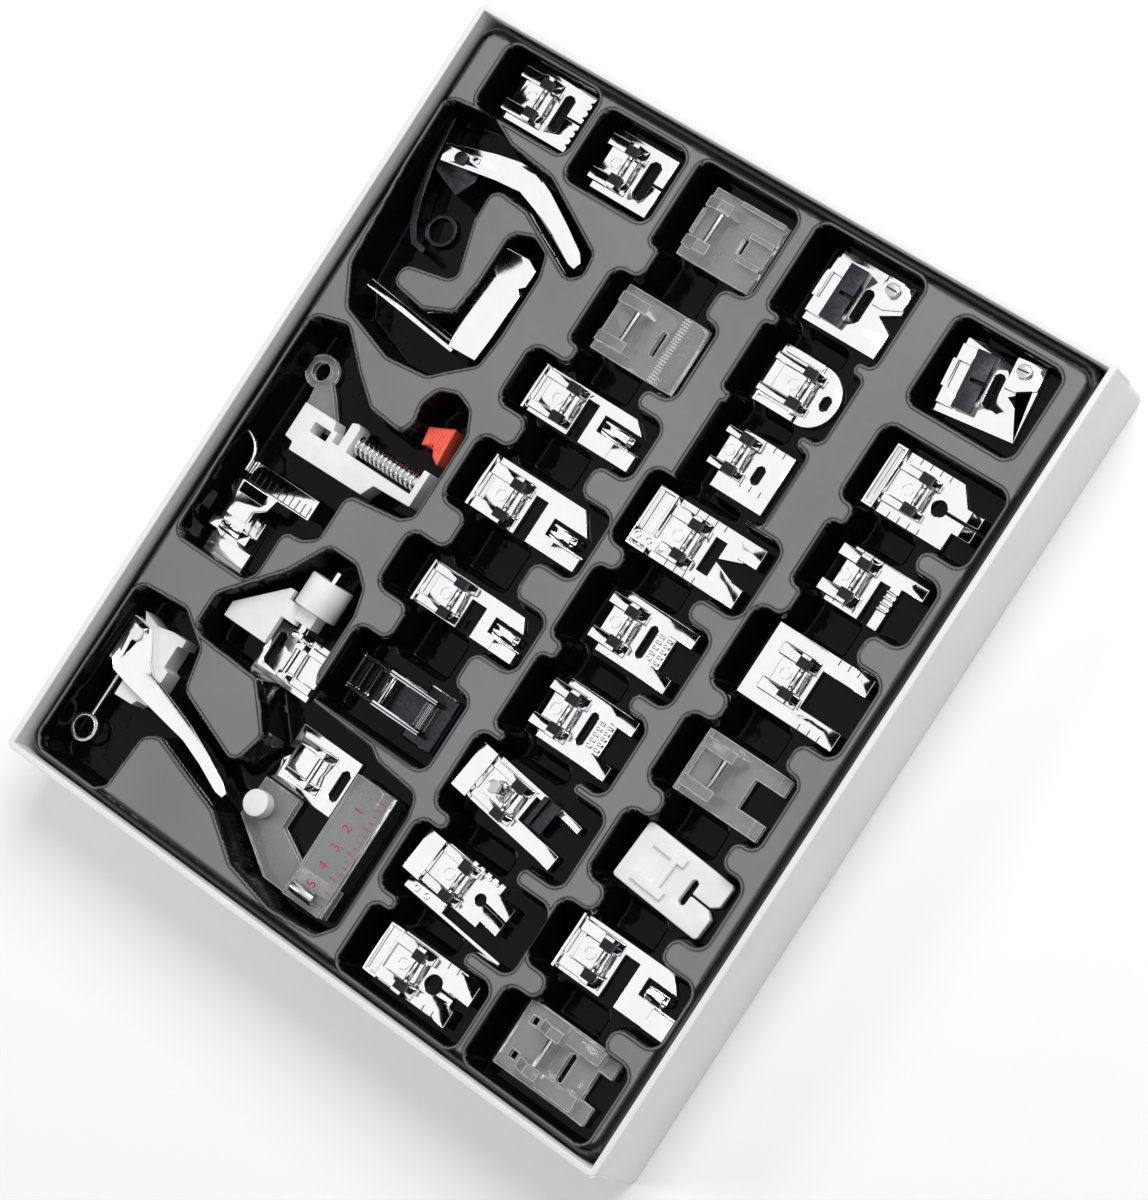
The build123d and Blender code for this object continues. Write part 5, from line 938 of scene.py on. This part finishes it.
# Printing ink: a matt crimson, a little thin in places
crimson_ink, tree, shader = finish_of("crimson printing ink", "#B3173A", 0.5)
place = add_node(tree, "ShaderNodeTexCoord")
ink_wear = add_node(tree, "ShaderNodeTexNoise", None, {
    "Vector": place.outputs["Object"], "Scale": 1 / (0.4 * MM), "Detail": 2.0})
ink_tone = add_node(tree, "ShaderNodeMix", {"data_type": "RGBA"}, {
    "Factor": ink_wear.outputs[0], "A": srgb("#A8143A"), "B": srgb("#CB2B50")})
tree.links.new(ink_tone.outputs["Result"], shader.inputs["Base Color"])
ruler_low, ruler_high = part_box("gauge_ruler")
ruler_ends, ticks_to = 3.0, 16
long_tick, short_tick, tick_half, tick_inset = 3.4, 2.0, 0.11, 0.5
ink_sunk, ink_proud = 0.12, 0.004
tick_x, tick_z = ruler_high.x / MM - tick_inset, ruler_high.z / MM
long_y = (ruler_high.y - ruler_low.y) / MM
bm = bmesh.new()
for k in range(ticks_to + 1):
    y = ruler_low.y / MM + ruler_ends + k * (long_y - 2 * ruler_ends) / ticks_to
    tick = short_tick if k % 4 else long_tick
    block(bm, Matrix.Identity(4), (tick_x - tick, y - tick_half, tick_z - ink_sunk),
          (tick_x, y + tick_half, tick_z + ink_proud))
added("gauge_ruler_ticks", bm, crimson_ink, "gauge_ruler")

# Figures from one to five down the middle of the ruler
gauge_seat = foot_seat(-0.132, -0.332, deep_z)
figure_tall, figure_thick = 4.2, 0.03
figure_x, figure_start, figure_step, figure_z = 19.4, 3.0, 6.0, 5.68
bm = bmesh.new()
for number in range(1, 6):
    figure = bpy.data.curves.new("figure", "FONT")
    figure.body = str(number)
    figure.size = figure_tall * MM
    figure.extrude = figure_thick * MM
    shape = bpy.data.objects.new("figure", figure)
    face = bpy.data.meshes.new_from_object(shape)
    spot = Vector((figure_x, figure_start - figure_step * number, figure_z))
    face.transform(gauge_seat @ Matrix.Translation(spot * MM) @ Matrix.Rotation(math.radians(90), 4, "Z"))
    bm.from_mesh(face)
    bpy.data.objects.remove(shape)
    bpy.data.curves.remove(figure)
    bpy.data.meshes.remove(face)
added("gauge_ruler_figures", bm, crimson_ink, "gauge_ruler")
